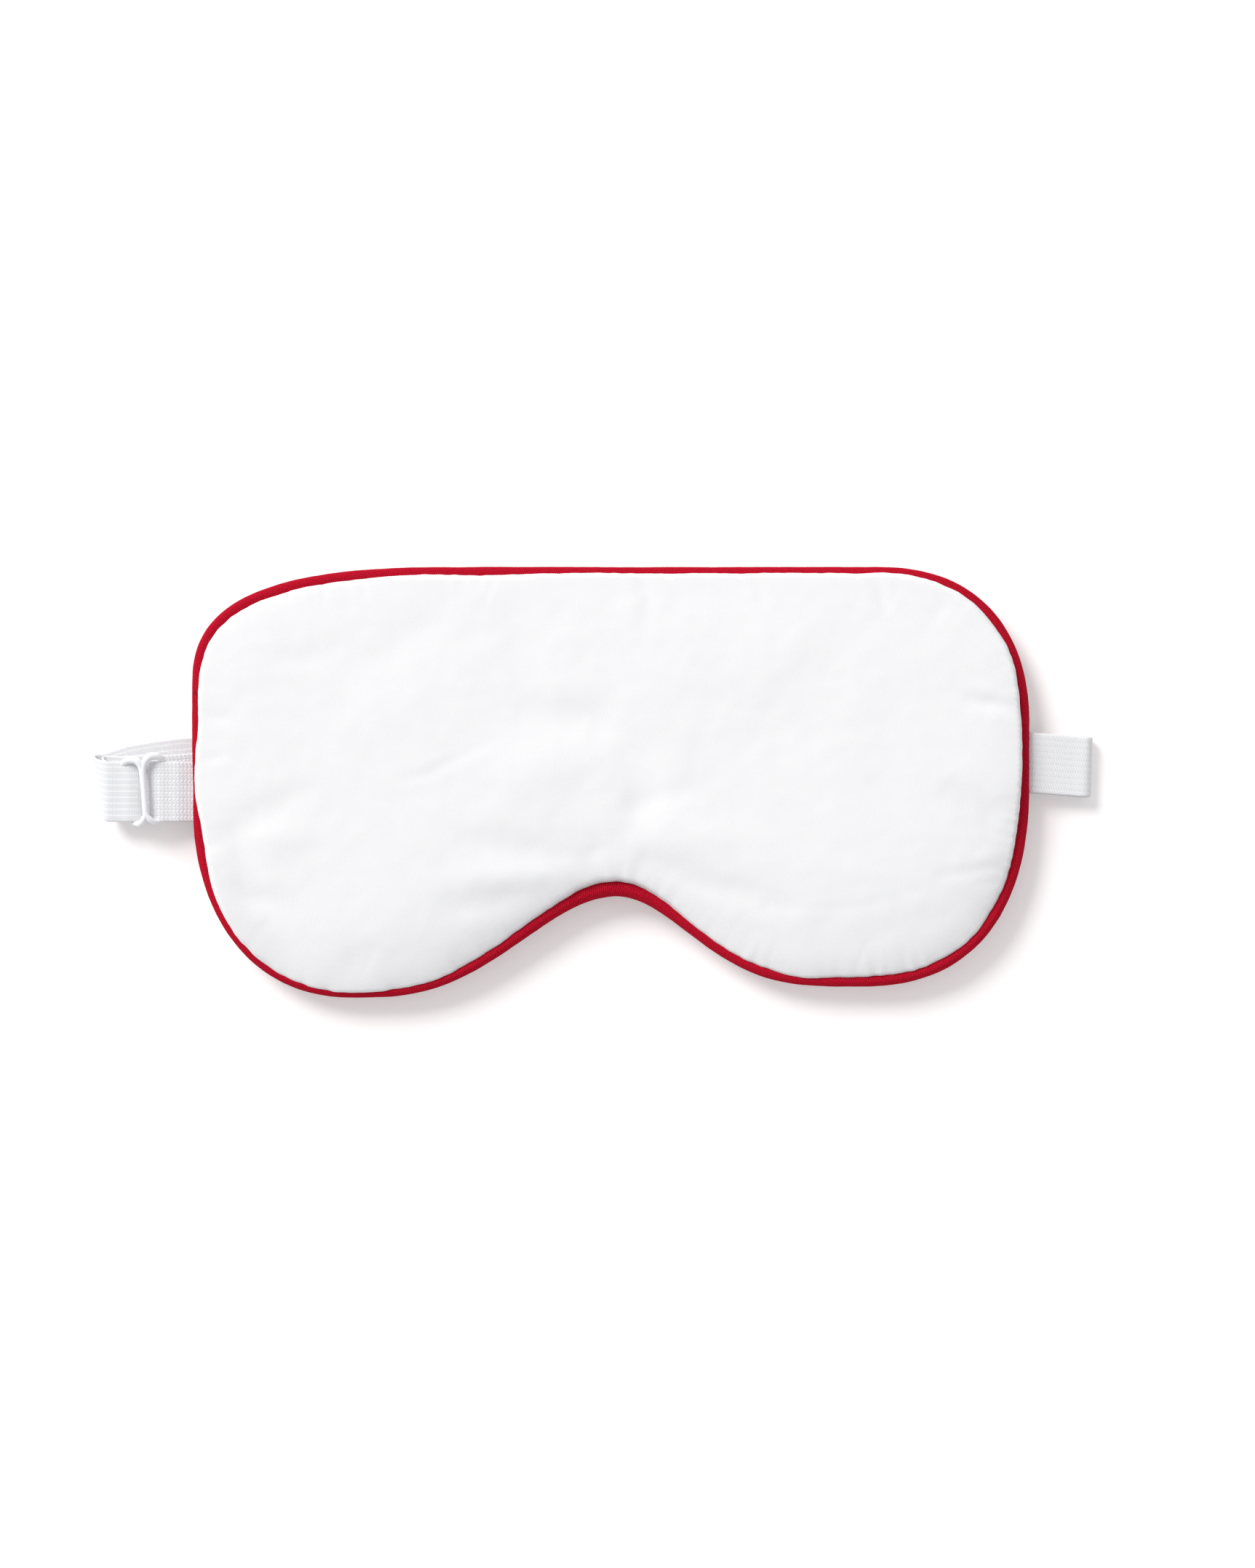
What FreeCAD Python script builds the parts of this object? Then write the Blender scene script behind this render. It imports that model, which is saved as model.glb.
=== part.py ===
import FreeCAD, Part

import math
import os

from FreeCAD import Vector

# A padded sleep mask lying face up on the side that touches the face, with its elastic
# strap folded behind it. Millimetres and degrees. +X is to the right seen from the front,
# +Y towards the brow, +Z up. Pieces are drawn about the centre of the mask on the resting
# plane and moved at the end, so that the origin is under the middle of mask and strap.

# Mask outline, seen from the front
half_width = 105.6
brow_height = 54.3
left_cheek_depth = 54.4
right_cheek_depth = 51.6
nose_offset = 1.65
nose_depth = 28.8
outline_points = 60
bend_weight = 40.0

# Rounding of the four corners: run along X, drop along Y, and fullness
# (2 is an ellipse, more is squarer)
brow_left = (70.4, 31.4, 2.86)
brow_right = (38.6, 41.0, 2.36)
cheek_left = (41.2, 51.6, 2.27)
cheek_right = (43.6, 53.0, 2.46)
# How long each cheek stays low before it climbs to the nose
nose_skew_left = 1.36
nose_skew_right = 1.65

# Fabric, seam and padding
fabric = 0.5
seam_height = 6.0
crown_rise = 4.5
crown_inset = 18.4
crown_fullness = 2.3
crown_levels = 5
lining_levels = 4
seam_allowance = 5.5
layer_gap = 0.1
trough_room = 4.6

# Piping round the edge
piping_diameter = 2.8
piping_wall = 0.4
flange_thickness = 0.6
piping_facets = 8

# Seam thread
thread = 0.3
thread_line = 1.2

# Elastic
elastic_width = 15.2
elastic_thickness = 0.75
ply_gap = 0.3
tab_length = 8.0

# Left side of the strap
left_strap_y = -2.4
left_reach = 24.4
left_inner_reach = 21.6
left_exit_run = 0.2
left_rise_run = 3.8
end_tail = 3.1
parting_x = -92.0
parting = 2.2

# Right side of the strap
right_strap_y = 5.0
right_reach = 15.7
right_slant = -4.6

# Where the doubled strap lies under the mask: distance along X, distance along Y
under_course = ((-127.0, -2.0), (-106.0, 3.0), (-50.0, 6.0), (42.0, 3.4), (121.5, 3.9))

# Slider and ring
slider_reach = 12.0
slider_bar_spacing = 4.9
slider_slant = 4.5
centre_bar = 1.8
slider_wire = 1.4
slider_corner = 1.2
slider_throat = 2.9
bend_steps = 4
rod_facets = 12
slider_end_room = 0.45
sliding_gap = 0.3
ring_x = 45.0
ring_width = 6.0
ring_wire = 1.3
ring_end_room = 0.4
wrap_gap = 0.05
ring_tail = 9.0
stitch_rows = 2
stitch_pitch = 0.7
stitch_inset = 1.0
stitch_reach = 1.1

# Sizes that follow from those above
piping_radius = piping_diameter / 2
flange_half = flange_thickness / 2
edge_inset = piping_diameter + layer_gap / 2
seam_top = seam_height + flange_half
seam_bottom = seam_height - flange_half
allowance_inset = edge_inset + seam_allowance
half_ply = elastic_thickness / 2
exit_z = seam_height - piping_radius - layer_gap - half_ply
under_z = half_ply
second_z = under_z + elastic_thickness + ply_gap
left_seam_x = -half_width
right_seam_x = half_width
left_tip_x = left_seam_x - left_reach
right_tip_x = right_seam_x + right_reach
ring_radius = ring_wire / 2
slider_radius = slider_wire / 2
ring_wrap = ring_radius + wrap_gap + half_ply
slider_wrap = slider_radius + wrap_gap + half_ply
ring_z = under_z + ring_wrap
ring_top_z = ring_z + ring_wrap
trough_height = ring_top_z + half_ply + ply_gap
trough_width = elastic_width + trough_room

# The level run of strap that the slider rides on stands clear of the plies below it
slider_x = left_seam_x - slider_reach
end_bar_x = slider_x - slider_bar_spacing
end_bar_drop = half_ply + sliding_gap + slider_wrap + half_ply
front_bar_drop = half_ply + sliding_gap + slider_radius
centre_bar_lift = half_ply + sliding_gap + centre_bar / 2
end_bar_z = second_z + half_ply + ply_gap + half_ply + slider_wrap
run_z = end_bar_z + end_bar_drop
leg_z = end_bar_z + slider_wrap


def superellipse_corner(centre, run, drop, fullness, start, steps=40):
    """Points of a quarter superellipse round centre, from the angle start on, turning clockwise."""
    points = []
    for step in range(steps):
        angle = math.radians(start - 90.0 * step / steps)
        c, s = math.cos(angle), math.sin(angle)
        x = math.copysign(abs(c) ** (2 / fullness), c) * run
        y = math.copysign(abs(s) ** (2 / fullness), s) * drop
        points.append((centre[0] + x, centre[1] + y))
    return points


def bridge(low, high, skew, steps=40):
    """Points from the low end of a cheek up to the nose notch."""
    points = []
    for step in range(steps):
        share = step / steps
        climb = (1 - math.cos(math.pi * share**skew)) / 2
        points.append((low[0] + (high[0] - low[0]) * share, low[1] + (high[1] - low[1]) * climb))
    return points


def dense_outline():
    """The edge of the mask, clockwise from the middle of the left side."""
    nose = (nose_offset, -nose_depth)
    left_low = (-half_width + cheek_left[0], -left_cheek_depth)
    right_low = (half_width - cheek_right[0], -right_cheek_depth)
    corners = [
        superellipse_corner((-half_width + brow_left[0], brow_height - brow_left[1]), *brow_left, 180),
        superellipse_corner((half_width - brow_right[0], brow_height - brow_right[1]), *brow_right, 90),
        superellipse_corner((right_low[0], -right_cheek_depth + cheek_right[1]), *cheek_right, 0),
        bridge(right_low, nose, nose_skew_right),
        bridge(left_low, nose, nose_skew_left)[::-1],
        superellipse_corner((left_low[0], -left_cheek_depth + cheek_left[1]), *cheek_left, -90),
    ]
    points = []
    for corner in corners:
        points.extend(point for point in corner if not points or math.dist(point, points[-1]) > 0.05)
    return points


def heading_change(before, here, after):
    """How far a line turns at the point here, in radians."""
    first = math.atan2(here[1] - before[1], here[0] - before[0])
    second = math.atan2(after[1] - here[1], after[0] - here[0])
    return abs(math.remainder(second - first, 2 * math.pi))


def thinned(points, count):
    """The closed line through points with count of them left, closer together round its bends."""
    total = len(points)
    marks = [0.0]
    for i, here in enumerate(points):
        after = points[(i + 1) % total]
        turned = heading_change(points[i - 1], here, after)
        marks.append(marks[-1] + math.dist(here, after) + bend_weight * turned)
    kept = []
    for i, here in enumerate(points):
        after = points[(i + 1) % total]
        while len(kept) < count and len(kept) * marks[-1] / count < marks[i + 1]:
            share = (len(kept) * marks[-1] / count - marks[i]) / (marks[i + 1] - marks[i])
            kept.append((here[0] + (after[0] - here[0]) * share, here[1] + (after[1] - here[1]) * share))
    return kept


def inset_outline(inset):
    """The outline moved inwards by inset, as (point, direction) pairs."""
    edge = [Vector(x, y, 0) for x, y in thinned(dense_outline(), outline_points)]
    moved = []
    for i, here in enumerate(edge):
        first = (here - edge[i - 1]).normalize()
        second = (edge[(i + 1) % len(edge)] - here).normalize()
        along = (first + second).normalize()
        inwards = Vector(along.y, -along.x, 0)
        moved.append((here + inwards * (inset / along.dot(first)), along))
    return moved


def outline_wire(inset, z):
    """The outline that far inside the edge, at height z."""
    corners = [point + Vector(0, 0, z) for point, _ in inset_outline(inset)]
    return Part.makePolygon(corners + corners[:1])


def outline_slab(inset, low, high):
    """A flat plate with the mask's outline."""
    return Part.Face(outline_wire(inset, low)).extrude(Vector(0, 0, high - low))


def outline_band(outer_inset, inner_inset, low, high):
    """A flat ring that follows the edge of the mask."""
    return outline_slab(outer_inset, low, high).cut(outline_slab(inner_inset, low - 1, high + 1))


def dome(inset, base_z, rise, levels, first_share=0.0):
    """Half of the cushion: it swells from base_z, that far inside the edge, to a level crown."""
    wires = []
    for level in range(levels):
        share = first_share + (1 - first_share) * (level / (levels - 1)) ** 1.6
        height = (1 - (1 - share) ** crown_fullness) ** (1 / crown_fullness)
        wires.append(outline_wire(inset + (crown_inset - inset) * share, base_z + rise * height))
    return Part.makeLoft(wires, True, True)


def band(stations, width, thickness):
    """A flat strip that passes through stations: (middle, direction across, direction up)."""
    wires = []
    for middle, across, up in stations:
        side, face = across * (width / 2), up * (thickness / 2)
        corners = [middle - side - face, middle + side - face, middle + side + face, middle - side + face]
        wires.append(Part.makePolygon(corners + corners[:1]))
    return Part.makeLoft(wires, True, True)


def course_at(x):
    """Y and heading of the strap that lies under the mask, on a smooth curve through under_course."""
    course = under_course
    slopes = []
    for i in range(len(course)):
        a, b = course[max(i - 1, 0)], course[min(i + 1, len(course) - 1)]
        slopes.append((b[1] - a[1]) / (b[0] - a[0]))
    x = min(max(x, course[0][0]), course[-1][0])
    i = max(k for k in range(len(course) - 1) if course[k][0] <= x)
    (x0, y0), (x1, y1) = course[i], course[i + 1]
    span = x1 - x0
    t = (x - x0) / span
    y = (
        y0 * (1 + 2 * t) * (1 - t) ** 2
        + slopes[i] * span * t * (1 - t) ** 2
        + y1 * t * t * (3 - 2 * t)
        + slopes[i + 1] * span * t * t * (t - 1)
    )
    rate = (y1 - y0) / span * 6 * t * (1 - t)
    rate += slopes[i] * (1 - t) * (1 - 3 * t) + slopes[i + 1] * t * (3 * t - 2)
    return y, math.degrees(math.atan(rate))


def across(heading):
    """The direction across a strip whose length points along heading, in the plane of the table."""
    angle = math.radians(heading)
    return Vector(-math.sin(angle), math.cos(angle), 0)


def station(x, z, y, heading, pitch):
    """A cross-section of strip. pitch turns its upper face about the direction across."""
    wide = across(heading)
    angle = math.radians(pitch)
    forward = Vector(wide.y, -wide.x, 0)
    up = Vector(0, 0, math.cos(angle)) - forward * math.sin(angle)
    return Vector(x, y, z), wide, up


def level_run(start_x, end_x, z, pitch, steps):
    """Stations of a ply that lies on the course under the mask."""
    stations = []
    for step in range(steps + 1):
        x = start_x + (end_x - start_x) * step / steps
        y, heading = course_at(x)
        stations.append(station(x, z, y, heading, pitch))
    return stations


def turn(centre_x, centre_z, radius, start, sweep, start_lie, end_lie, steps=10):
    """Stations round a fold. start and sweep are angles in the XZ plane; a lie is (y, heading)."""
    stations = []
    for step in range(steps + 1):
        share = step / steps
        angle = start + sweep * share
        ease = share * share * (3 - 2 * share)
        y = start_lie[0] + (end_lie[0] - start_lie[0]) * ease
        heading = start_lie[1] + (end_lie[1] - start_lie[1]) * ease
        x = centre_x + radius * math.cos(math.radians(angle))
        z = centre_z + radius * math.sin(math.radians(angle))
        pitch = angle - 90 if sweep > 0 else angle + 90
        stations.append(station(x, z, y, heading, pitch))
    return stations


def trough(extra):
    """The hollow in the face side that the folded strap lies in, grown by extra."""
    low = -1.0
    high = trough_height + extra
    stations = []
    for middle, wide, up in level_run(left_tip_x, right_tip_x, (low + high) / 2, 0, 24):
        stations.append((middle, wide, up))
    return band(stations, trough_width + 2 * extra, high - low)


def tab_slots(gap):
    """The gaps in the side seams that the strap ends come out of."""
    slots = []
    for x, y in ((left_seam_x, left_strap_y), (right_seam_x, right_strap_y)):
        slot = Part.makeBox(2 * tab_length + 4, elastic_width + 2 * gap, elastic_thickness + 2 * gap)
        slot.translate(Vector(-tab_length - 2, -elastic_width / 2 - gap, -half_ply - gap))
        slot.rotate(Vector(), Vector(0, 0, 1), right_slant if x > 0 else 0)
        slot.translate(Vector(x, y, exit_z))
        slots.append(slot)
    return slots


def front_panel():
    """The outer cotton panel: a crowned skin with its seam allowance turned in."""
    skin = dome(edge_inset, seam_top, crown_rise, crown_levels).cut(
        dome(edge_inset + fabric, seam_top, crown_rise - fabric, crown_levels)
    )
    allowance = outline_band(edge_inset + fabric / 2, allowance_inset, seam_top, seam_top + fabric)
    return skin.fuse(allowance)


def back_panel():
    """The lining that touches the face: flat on the table, hollowed over the strap."""
    outer = dome(edge_inset, seam_bottom, -seam_bottom, crown_levels)
    inner = dome(edge_inset + fabric, seam_bottom, fabric - seam_bottom, crown_levels)
    allowance = outline_band(edge_inset + fabric / 2, allowance_inset, seam_bottom - fabric, seam_bottom)
    panel = outer.cut(trough(0)).cut(inner.cut(trough(fabric))).fuse(allowance.cut(trough(fabric)))
    return panel.cut(Part.makeCompound(tab_slots(layer_gap)))


def padding():
    """The wadding between the two panels."""
    lining = edge_inset + fabric + layer_gap
    edge = allowance_inset + layer_gap
    share = (edge - lining) / (crown_inset - lining)
    height = (1 - (1 - share) ** crown_fullness) ** (1 / crown_fullness)
    top_rise = crown_rise - fabric - layer_gap
    low_rise = seam_bottom - fabric - layer_gap
    upper = dome(lining, seam_top, top_rise, lining_levels, share)
    lower = dome(lining, seam_bottom, -low_rise, lining_levels, share)
    middle = outline_slab(edge, seam_bottom - low_rise * height, seam_top + top_rise * height)
    slots = Part.makeCompound(tab_slots(layer_gap))
    return middle.fuse(upper).fuse(lower).cut(trough(fabric + layer_gap)).cut(slots)


def round_profile(radius, facets=piping_facets):
    """The corners of a faceted circle, as (inwards, up) pairs."""
    corners = []
    for i in range(facets):
        angle = 2 * math.pi * (i + 0.5) / facets
        corners.append((radius * math.cos(angle), radius * math.sin(angle)))
    return corners


def keyhole_profile():
    """The tape's outer profile: the round of the piping with the flange that the seam holds."""
    round_corners = [corner for corner in round_profile(piping_radius)[1:-1]]
    root = math.sqrt(piping_radius**2 - flange_half**2)
    tip = allowance_inset - piping_radius
    flange = [(root, -flange_half), (tip, -flange_half), (tip, flange_half), (root, flange_half)]
    first, last = round_profile(piping_radius)[0], round_profile(piping_radius)[-1]
    return [last] + flange + [first] + round_corners


def round_the_edge(profile):
    """A solid with that profile, swept round the mask along the middle of the piping."""
    sections = []
    for point, along in inset_outline(piping_radius):
        inwards = Vector(along.y, -along.x, 0)
        middle = point + Vector(0, 0, seam_height)
        corners = [middle + inwards * across + Vector(0, 0, up) for across, up in profile]
        sections.append(Part.makePolygon(corners + corners[:1]))
    return Part.makeLoft(sections, True, True, True)


def piping_cover():
    """Bias tape folded over the cord, with its flange caught in the seam."""
    return round_the_edge(keyhole_profile()).cut(round_the_edge(round_profile(piping_radius - piping_wall)))


def piping_cord():
    """The filler cord inside the piping."""
    return round_the_edge(round_profile(piping_radius - piping_wall - layer_gap / 2))


def seam_thread():
    """The line of thread that closes the seam, on the inside of the front allowance."""
    line = edge_inset + fabric + thread_line
    low = seam_top + fabric
    return outline_band(line, line + thread, low, low + thread)


def rise(start_x, run, low, high, lie, steps=6):
    """Stations of a ply that climbs from low to high while it runs that far towards -X."""
    stations = []
    for step in range(steps + 1):
        share = step / steps
        z = low + (high - low) * share * share * (3 - 2 * share)
        slope = (high - low) / run * 6 * share * (1 - share)
        stations.append(station(start_x - run * share, z, *lie, 180 + math.degrees(math.atan(slope))))
    return stations


def adjuster_strap():
    """The long elastic: from the left seam through the slider, round the left tip, along under
    the mask to the ring and back on top of itself as far as the parting."""
    top_lie = (left_strap_y, 0.0)
    stations = [station(left_seam_x + tab_length, exit_z, *top_lie, 180)]
    stations += rise(left_seam_x - left_exit_run, left_rise_run, exit_z, run_z, top_lie)
    # Round the left tip, down to the ply on the table
    radius = (run_z - under_z) / 2
    centre_x = left_tip_x + half_ply + radius
    stations += turn(centre_x, under_z + radius, radius, 90, 180, top_lie, course_at(centre_x), 12)
    # Along under the mask to the ring, round its near bar, and back on top of itself
    near_bar_x = ring_x - ring_width / 2
    stations += level_run(centre_x, near_bar_x, under_z, 180, 16)[1:]
    ring_lie = course_at(near_bar_x)
    stations += turn(near_bar_x, ring_z, ring_wrap, -90, 180, ring_lie, ring_lie)[1:]
    stations += level_run(near_bar_x - ring_width, parting_x + parting, second_z, 360, 12)
    return band(stations, elastic_width, elastic_thickness)


def strap_end():
    """The sewn end of the long elastic: from the parting round the inner fold, then over the
    slider's far bar with its tail underneath."""
    radius = (leg_z - second_z) / 2
    inner_x = left_seam_x - left_inner_reach + half_ply + radius
    inner_lie = course_at(inner_x)
    bar_lie = (left_strap_y, slider_slant)
    stations = level_run(parting_x, inner_x, second_z, 360, 6)
    stations += turn(inner_x, second_z + radius, radius, 270, -180, inner_lie, bar_lie)[1:]
    stations += turn(end_bar_x, end_bar_z, slider_wrap, 90, -190, bar_lie, bar_lie, 12)
    tail_z = end_bar_z - slider_wrap * 0.6
    stations.append(station(end_bar_x - end_tail, tail_z, *bar_lie, 170))
    return band(stations, elastic_width - 2 * sliding_gap, elastic_thickness)


def stitches(x, y, heading, low, high):
    """Rows of thread across the strap that pin two plies together."""
    width = elastic_width - 2 * stitch_inset
    rows = []
    for row in range(stitch_rows):
        along = (row - (stitch_rows - 1) / 2) * stitch_pitch
        rows.append(Part.makeBox(thread, width, high - low, Vector(along - thread / 2, -width / 2, low)))
    pinned = Part.makeCompound(rows)
    pinned.rotate(Vector(), Vector(0, 0, 1), heading)
    pinned.translate(Vector(x, y, 0))
    return pinned


def rod_loop(width, half_length, throat, radius):
    """One eye of the slider or the ring in the XY plane: a bar on X = 0, with bends of radius
    throat beside it, and a far bar at -width."""
    bends = [
        (Vector(-throat, half_length - throat, 0), throat, 0),
        (Vector(-width + slider_corner, half_length - slider_corner, 0), slider_corner, 90),
        (Vector(-width + slider_corner, slider_corner - half_length, 0), slider_corner, 180),
        (Vector(-throat, throat - half_length, 0), throat, 270),
    ]
    sections = []
    for centre, bend, start in bends:
        for step in range(bend_steps + 1):
            corners = [Vector(bend + x, 0, z) for x, z in round_profile(radius, rod_facets)]
            section = Part.makePolygon(corners + corners[:1])
            section.rotate(Vector(), Vector(0, 0, 1), start + 90 * step / bend_steps)
            section.translate(centre)
            sections.append(section)
    return Part.makeLoft(sections, True, True, True)


def slider():
    """A two-eyed strap slider: its side eyes bend down so that the strap runs over the side
    bars and under the raised centre bar."""
    half_length = elastic_width / 2 + slider_end_room + slider_radius
    body = None
    for drop, mirror in ((end_bar_drop, False), (front_bar_drop, True)):
        fall = centre_bar_lift + drop
        width = math.hypot(slider_bar_spacing, fall)
        eye = rod_loop(width, half_length, slider_throat, slider_radius)
        eye.rotate(Vector(), Vector(0, 1, 0), -math.degrees(math.atan2(fall, slider_bar_spacing)))
        if mirror:
            eye.rotate(Vector(), Vector(0, 0, 1), 180)
        body = eye if body is None else body.fuse(eye)
    bar_half = half_length - slider_throat
    corners = [Vector(x, -bar_half, z) for x, z in round_profile(centre_bar / 2, rod_facets)]
    bar = Part.Face(Part.makePolygon(corners + corners[:1])).extrude(Vector(0, 2 * bar_half, 0))
    body = body.fuse(bar)
    body.translate(Vector(0, 0, centre_bar_lift))
    body.rotate(Vector(), Vector(0, 0, 1), slider_slant)
    body.translate(Vector(slider_x, left_strap_y, run_z))
    return body


def strap_ring():
    """The oblong ring that joins the doubled strap to the right-hand elastic."""
    half_length = elastic_width / 2 + ring_end_room + ring_radius
    ring = rod_loop(ring_width, half_length, slider_corner, ring_radius)
    y, heading = course_at(ring_x)
    ring.translate(Vector(ring_width / 2, 0, 0))
    ring.rotate(Vector(), Vector(0, 0, 1), heading)
    ring.translate(Vector(ring_x, y, ring_z))
    return ring


def right_elastic():
    """The short elastic: from the right seam, round the right tip and back to the ring."""
    tip_x = right_tip_x - half_ply
    radius = (exit_z - under_z) / 2
    centre_x = tip_x - radius
    slope = math.tan(math.radians(right_slant))
    inner_x = right_seam_x - tab_length
    top_y = right_strap_y + slope * (centre_x - right_seam_x)
    stations = [
        station(inner_x, exit_z, right_strap_y - slope * tab_length, right_slant, 0),
        station(right_seam_x, exit_z, right_strap_y, right_slant, 0),
    ]
    top_lie = (top_y, right_slant)
    stations += turn(centre_x, exit_z - radius, radius, 90, -180, top_lie, course_at(centre_x))
    far_bar_x = ring_x + ring_width / 2
    stations += level_run(centre_x, far_bar_x, under_z, 180, 12)[1:]
    lie = course_at(far_bar_x)
    stations += turn(far_bar_x, ring_z, ring_wrap, -90, -180, lie, lie)[1:]
    settle_x = far_bar_x + ring_width / 2
    stations += level_run(settle_x, far_bar_x + ring_tail, second_z, 360, 3)
    return band(stations, elastic_width, elastic_thickness)


def ring_stitches():
    """The thread that pins the right-hand elastic's tail round the ring."""
    x = ring_x + ring_width / 2 + ring_tail * 0.6
    return stitches(x, *course_at(x), under_z, second_z + half_ply)


def end_stitches():
    """The thread that pins the tail of the strap's sewn end."""
    x = end_bar_x - slider_wrap - stitch_reach
    return stitches(x, left_strap_y, slider_slant, end_bar_z - slider_wrap / 2, leg_z + half_ply)


nodes = {
    "front_panel": front_panel,
    "back_panel": back_panel,
    "padding": padding,
    "piping_cover": piping_cover,
    "piping_cord": piping_cord,
    "seam_thread": seam_thread,
    "adjuster_strap": adjuster_strap,
    "strap_end": strap_end,
    "end_stitches": end_stitches,
    "slider": slider,
    "strap_ring": strap_ring,
    "right_elastic": right_elastic,
    "ring_stitches": ring_stitches,
}

middle_shift = Vector(-(left_tip_x + right_tip_x) / 2, (left_cheek_depth - brow_height) / 2, 0)

os.makedirs("parts", exist_ok=True)
for name, build in nodes.items():
    shape = build()
    shape.translate(middle_shift)
    box = shape.BoundBox
    print(
        f"{name:16s} valid {shape.isValid()} solids {len(shape.Solids)} faces {len(shape.Faces)} "
        f"volume {shape.Volume:9.1f} x {box.XMin:7.1f} {box.XMax:7.1f} "
        f"y {box.YMin:6.1f} {box.YMax:6.1f} z {box.ZMin:5.2f} {box.ZMax:5.2f}"
    )
    shape.exportStep(f"parts/{name}.step")
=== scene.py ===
import math
import random
import bpy
import numpy as np
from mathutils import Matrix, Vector, geometry, kdtree, noise


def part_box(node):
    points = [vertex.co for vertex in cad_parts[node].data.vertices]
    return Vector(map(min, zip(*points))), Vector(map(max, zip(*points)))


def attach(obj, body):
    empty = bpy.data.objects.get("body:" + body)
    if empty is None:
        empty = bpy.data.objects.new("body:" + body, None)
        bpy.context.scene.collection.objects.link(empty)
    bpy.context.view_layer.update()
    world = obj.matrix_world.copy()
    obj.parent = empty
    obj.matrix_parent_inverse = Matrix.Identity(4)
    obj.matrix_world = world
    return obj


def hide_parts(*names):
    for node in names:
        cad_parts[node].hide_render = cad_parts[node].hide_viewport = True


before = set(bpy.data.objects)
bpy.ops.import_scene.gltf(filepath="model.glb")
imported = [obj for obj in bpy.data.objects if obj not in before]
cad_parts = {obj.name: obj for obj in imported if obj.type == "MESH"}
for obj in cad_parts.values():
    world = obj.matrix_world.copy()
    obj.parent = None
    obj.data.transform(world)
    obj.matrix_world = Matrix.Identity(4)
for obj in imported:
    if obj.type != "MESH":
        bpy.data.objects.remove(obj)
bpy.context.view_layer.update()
mm = 0.001
# Lengths are in mm about the middle of the mask; newObject puts them in the frame, in metres
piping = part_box("piping_cover")
centreX = (piping[0][0] + piping[1][0]) / 2 / mm
centreY = (piping[0][1] + piping[1][1]) / 2 / mm

# The mask's edge. Each rounded corner is its run, its drop and its fullness.
outline = {
    "halfWidth": 105.6, "browHeight": 54.3, "leftCheekDepth": 54.4, "rightCheekDepth": 51.6,
    "noseOffset": 1.65, "noseDepth": 28.8, "leftSkew": 1.36, "rightSkew": 1.65,
    "browLeft": (70.4, 31.4, 2.86), "browRight": (38.6, 41.0, 2.36),
    "cheekLeft": (41.2, 51.6, 2.27), "cheekRight": (43.6, 53.0, 2.46),
    "cornerSteps": 160, "points": 640, "evening": 6,
}


# A quarter turn clockwise from the angle start
def cornerPoints(centre, size, start):
    run, drop, fullness = size
    points = []
    steps = outline["cornerSteps"]
    for i in range(steps):
        angle = math.radians(start - 90 * i / steps)
        c, s = math.cos(angle), math.sin(angle)
        x = math.copysign(abs(c) ** (2 / fullness), c) * run
        y = math.copysign(abs(s) ** (2 / fullness), s) * drop
        points.append((centre[0] + x, centre[1] + y))
    return points


# Half of the nose bridge, from the low point of a cheek up to the nose
def bridgePoints(low, high, skew):
    points = []
    steps = outline["cornerSteps"]
    for i in range(steps):
        t = i / steps
        climb = (1 - math.cos(math.pi * t**skew)) / 2
        points.append((low[0] + (high[0] - low[0]) * t, low[1] + (high[1] - low[1]) * climb))
    return points


# Each value of a closed row drawn towards its neighbours, a few times over
def evened(row, times):
    for _ in range(times):
        row = (np.roll(row, 1, 0) + 2 * row + np.roll(row, -1, 0)) / 4
    return row


# Even points of the edge, clockwise from the middle of the left side, the way inwards at each, and its length
def edgeLine(count):
    o = outline
    w = o["halfWidth"]
    nose = (o["noseOffset"], -o["noseDepth"])
    lowLeft = (-w + o["cheekLeft"][0], -o["leftCheekDepth"])
    lowRight = (w - o["cheekRight"][0], -o["rightCheekDepth"])
    dense = cornerPoints((-w + o["browLeft"][0], o["browHeight"] - o["browLeft"][1]), o["browLeft"], 180)
    dense += cornerPoints((w - o["browRight"][0], o["browHeight"] - o["browRight"][1]), o["browRight"], 90)
    dense += cornerPoints((lowRight[0], lowRight[1] + o["cheekRight"][1]), o["cheekRight"], 0)
    dense += bridgePoints(lowRight, nose, o["rightSkew"])
    dense += bridgePoints(lowLeft, nose, o["leftSkew"])[::-1]
    dense += cornerPoints((lowLeft[0], lowLeft[1] + o["cheekLeft"][1]), o["cheekLeft"], -90)
    p = np.array(dense + dense[:1])
    step = np.hypot(*np.diff(p, axis=0).T)
    mark = np.concatenate([[0], np.cumsum(step)])
    at = np.linspace(0, mark[-1], count, endpoint=False)
    line = np.stack([np.interp(at, mark, p[:, 0]), np.interp(at, mark, p[:, 1])], axis=1)
    line = evened(line, o["evening"])
    along = np.roll(line, -1, 0) - np.roll(line, 1, 0)
    along /= np.hypot(*along.T)[:, None]
    inwards = np.stack([along[:, 1], -along[:, 0]], axis=1)
    return line, inwards, mark[-1]


edgeCount = outline["points"]
edge, inwards, edgeLength = edgeLine(edgeCount)
edgeStep = edgeLength / edgeCount
print("edge laid out,", round(edgeLength), "mm round")

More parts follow.
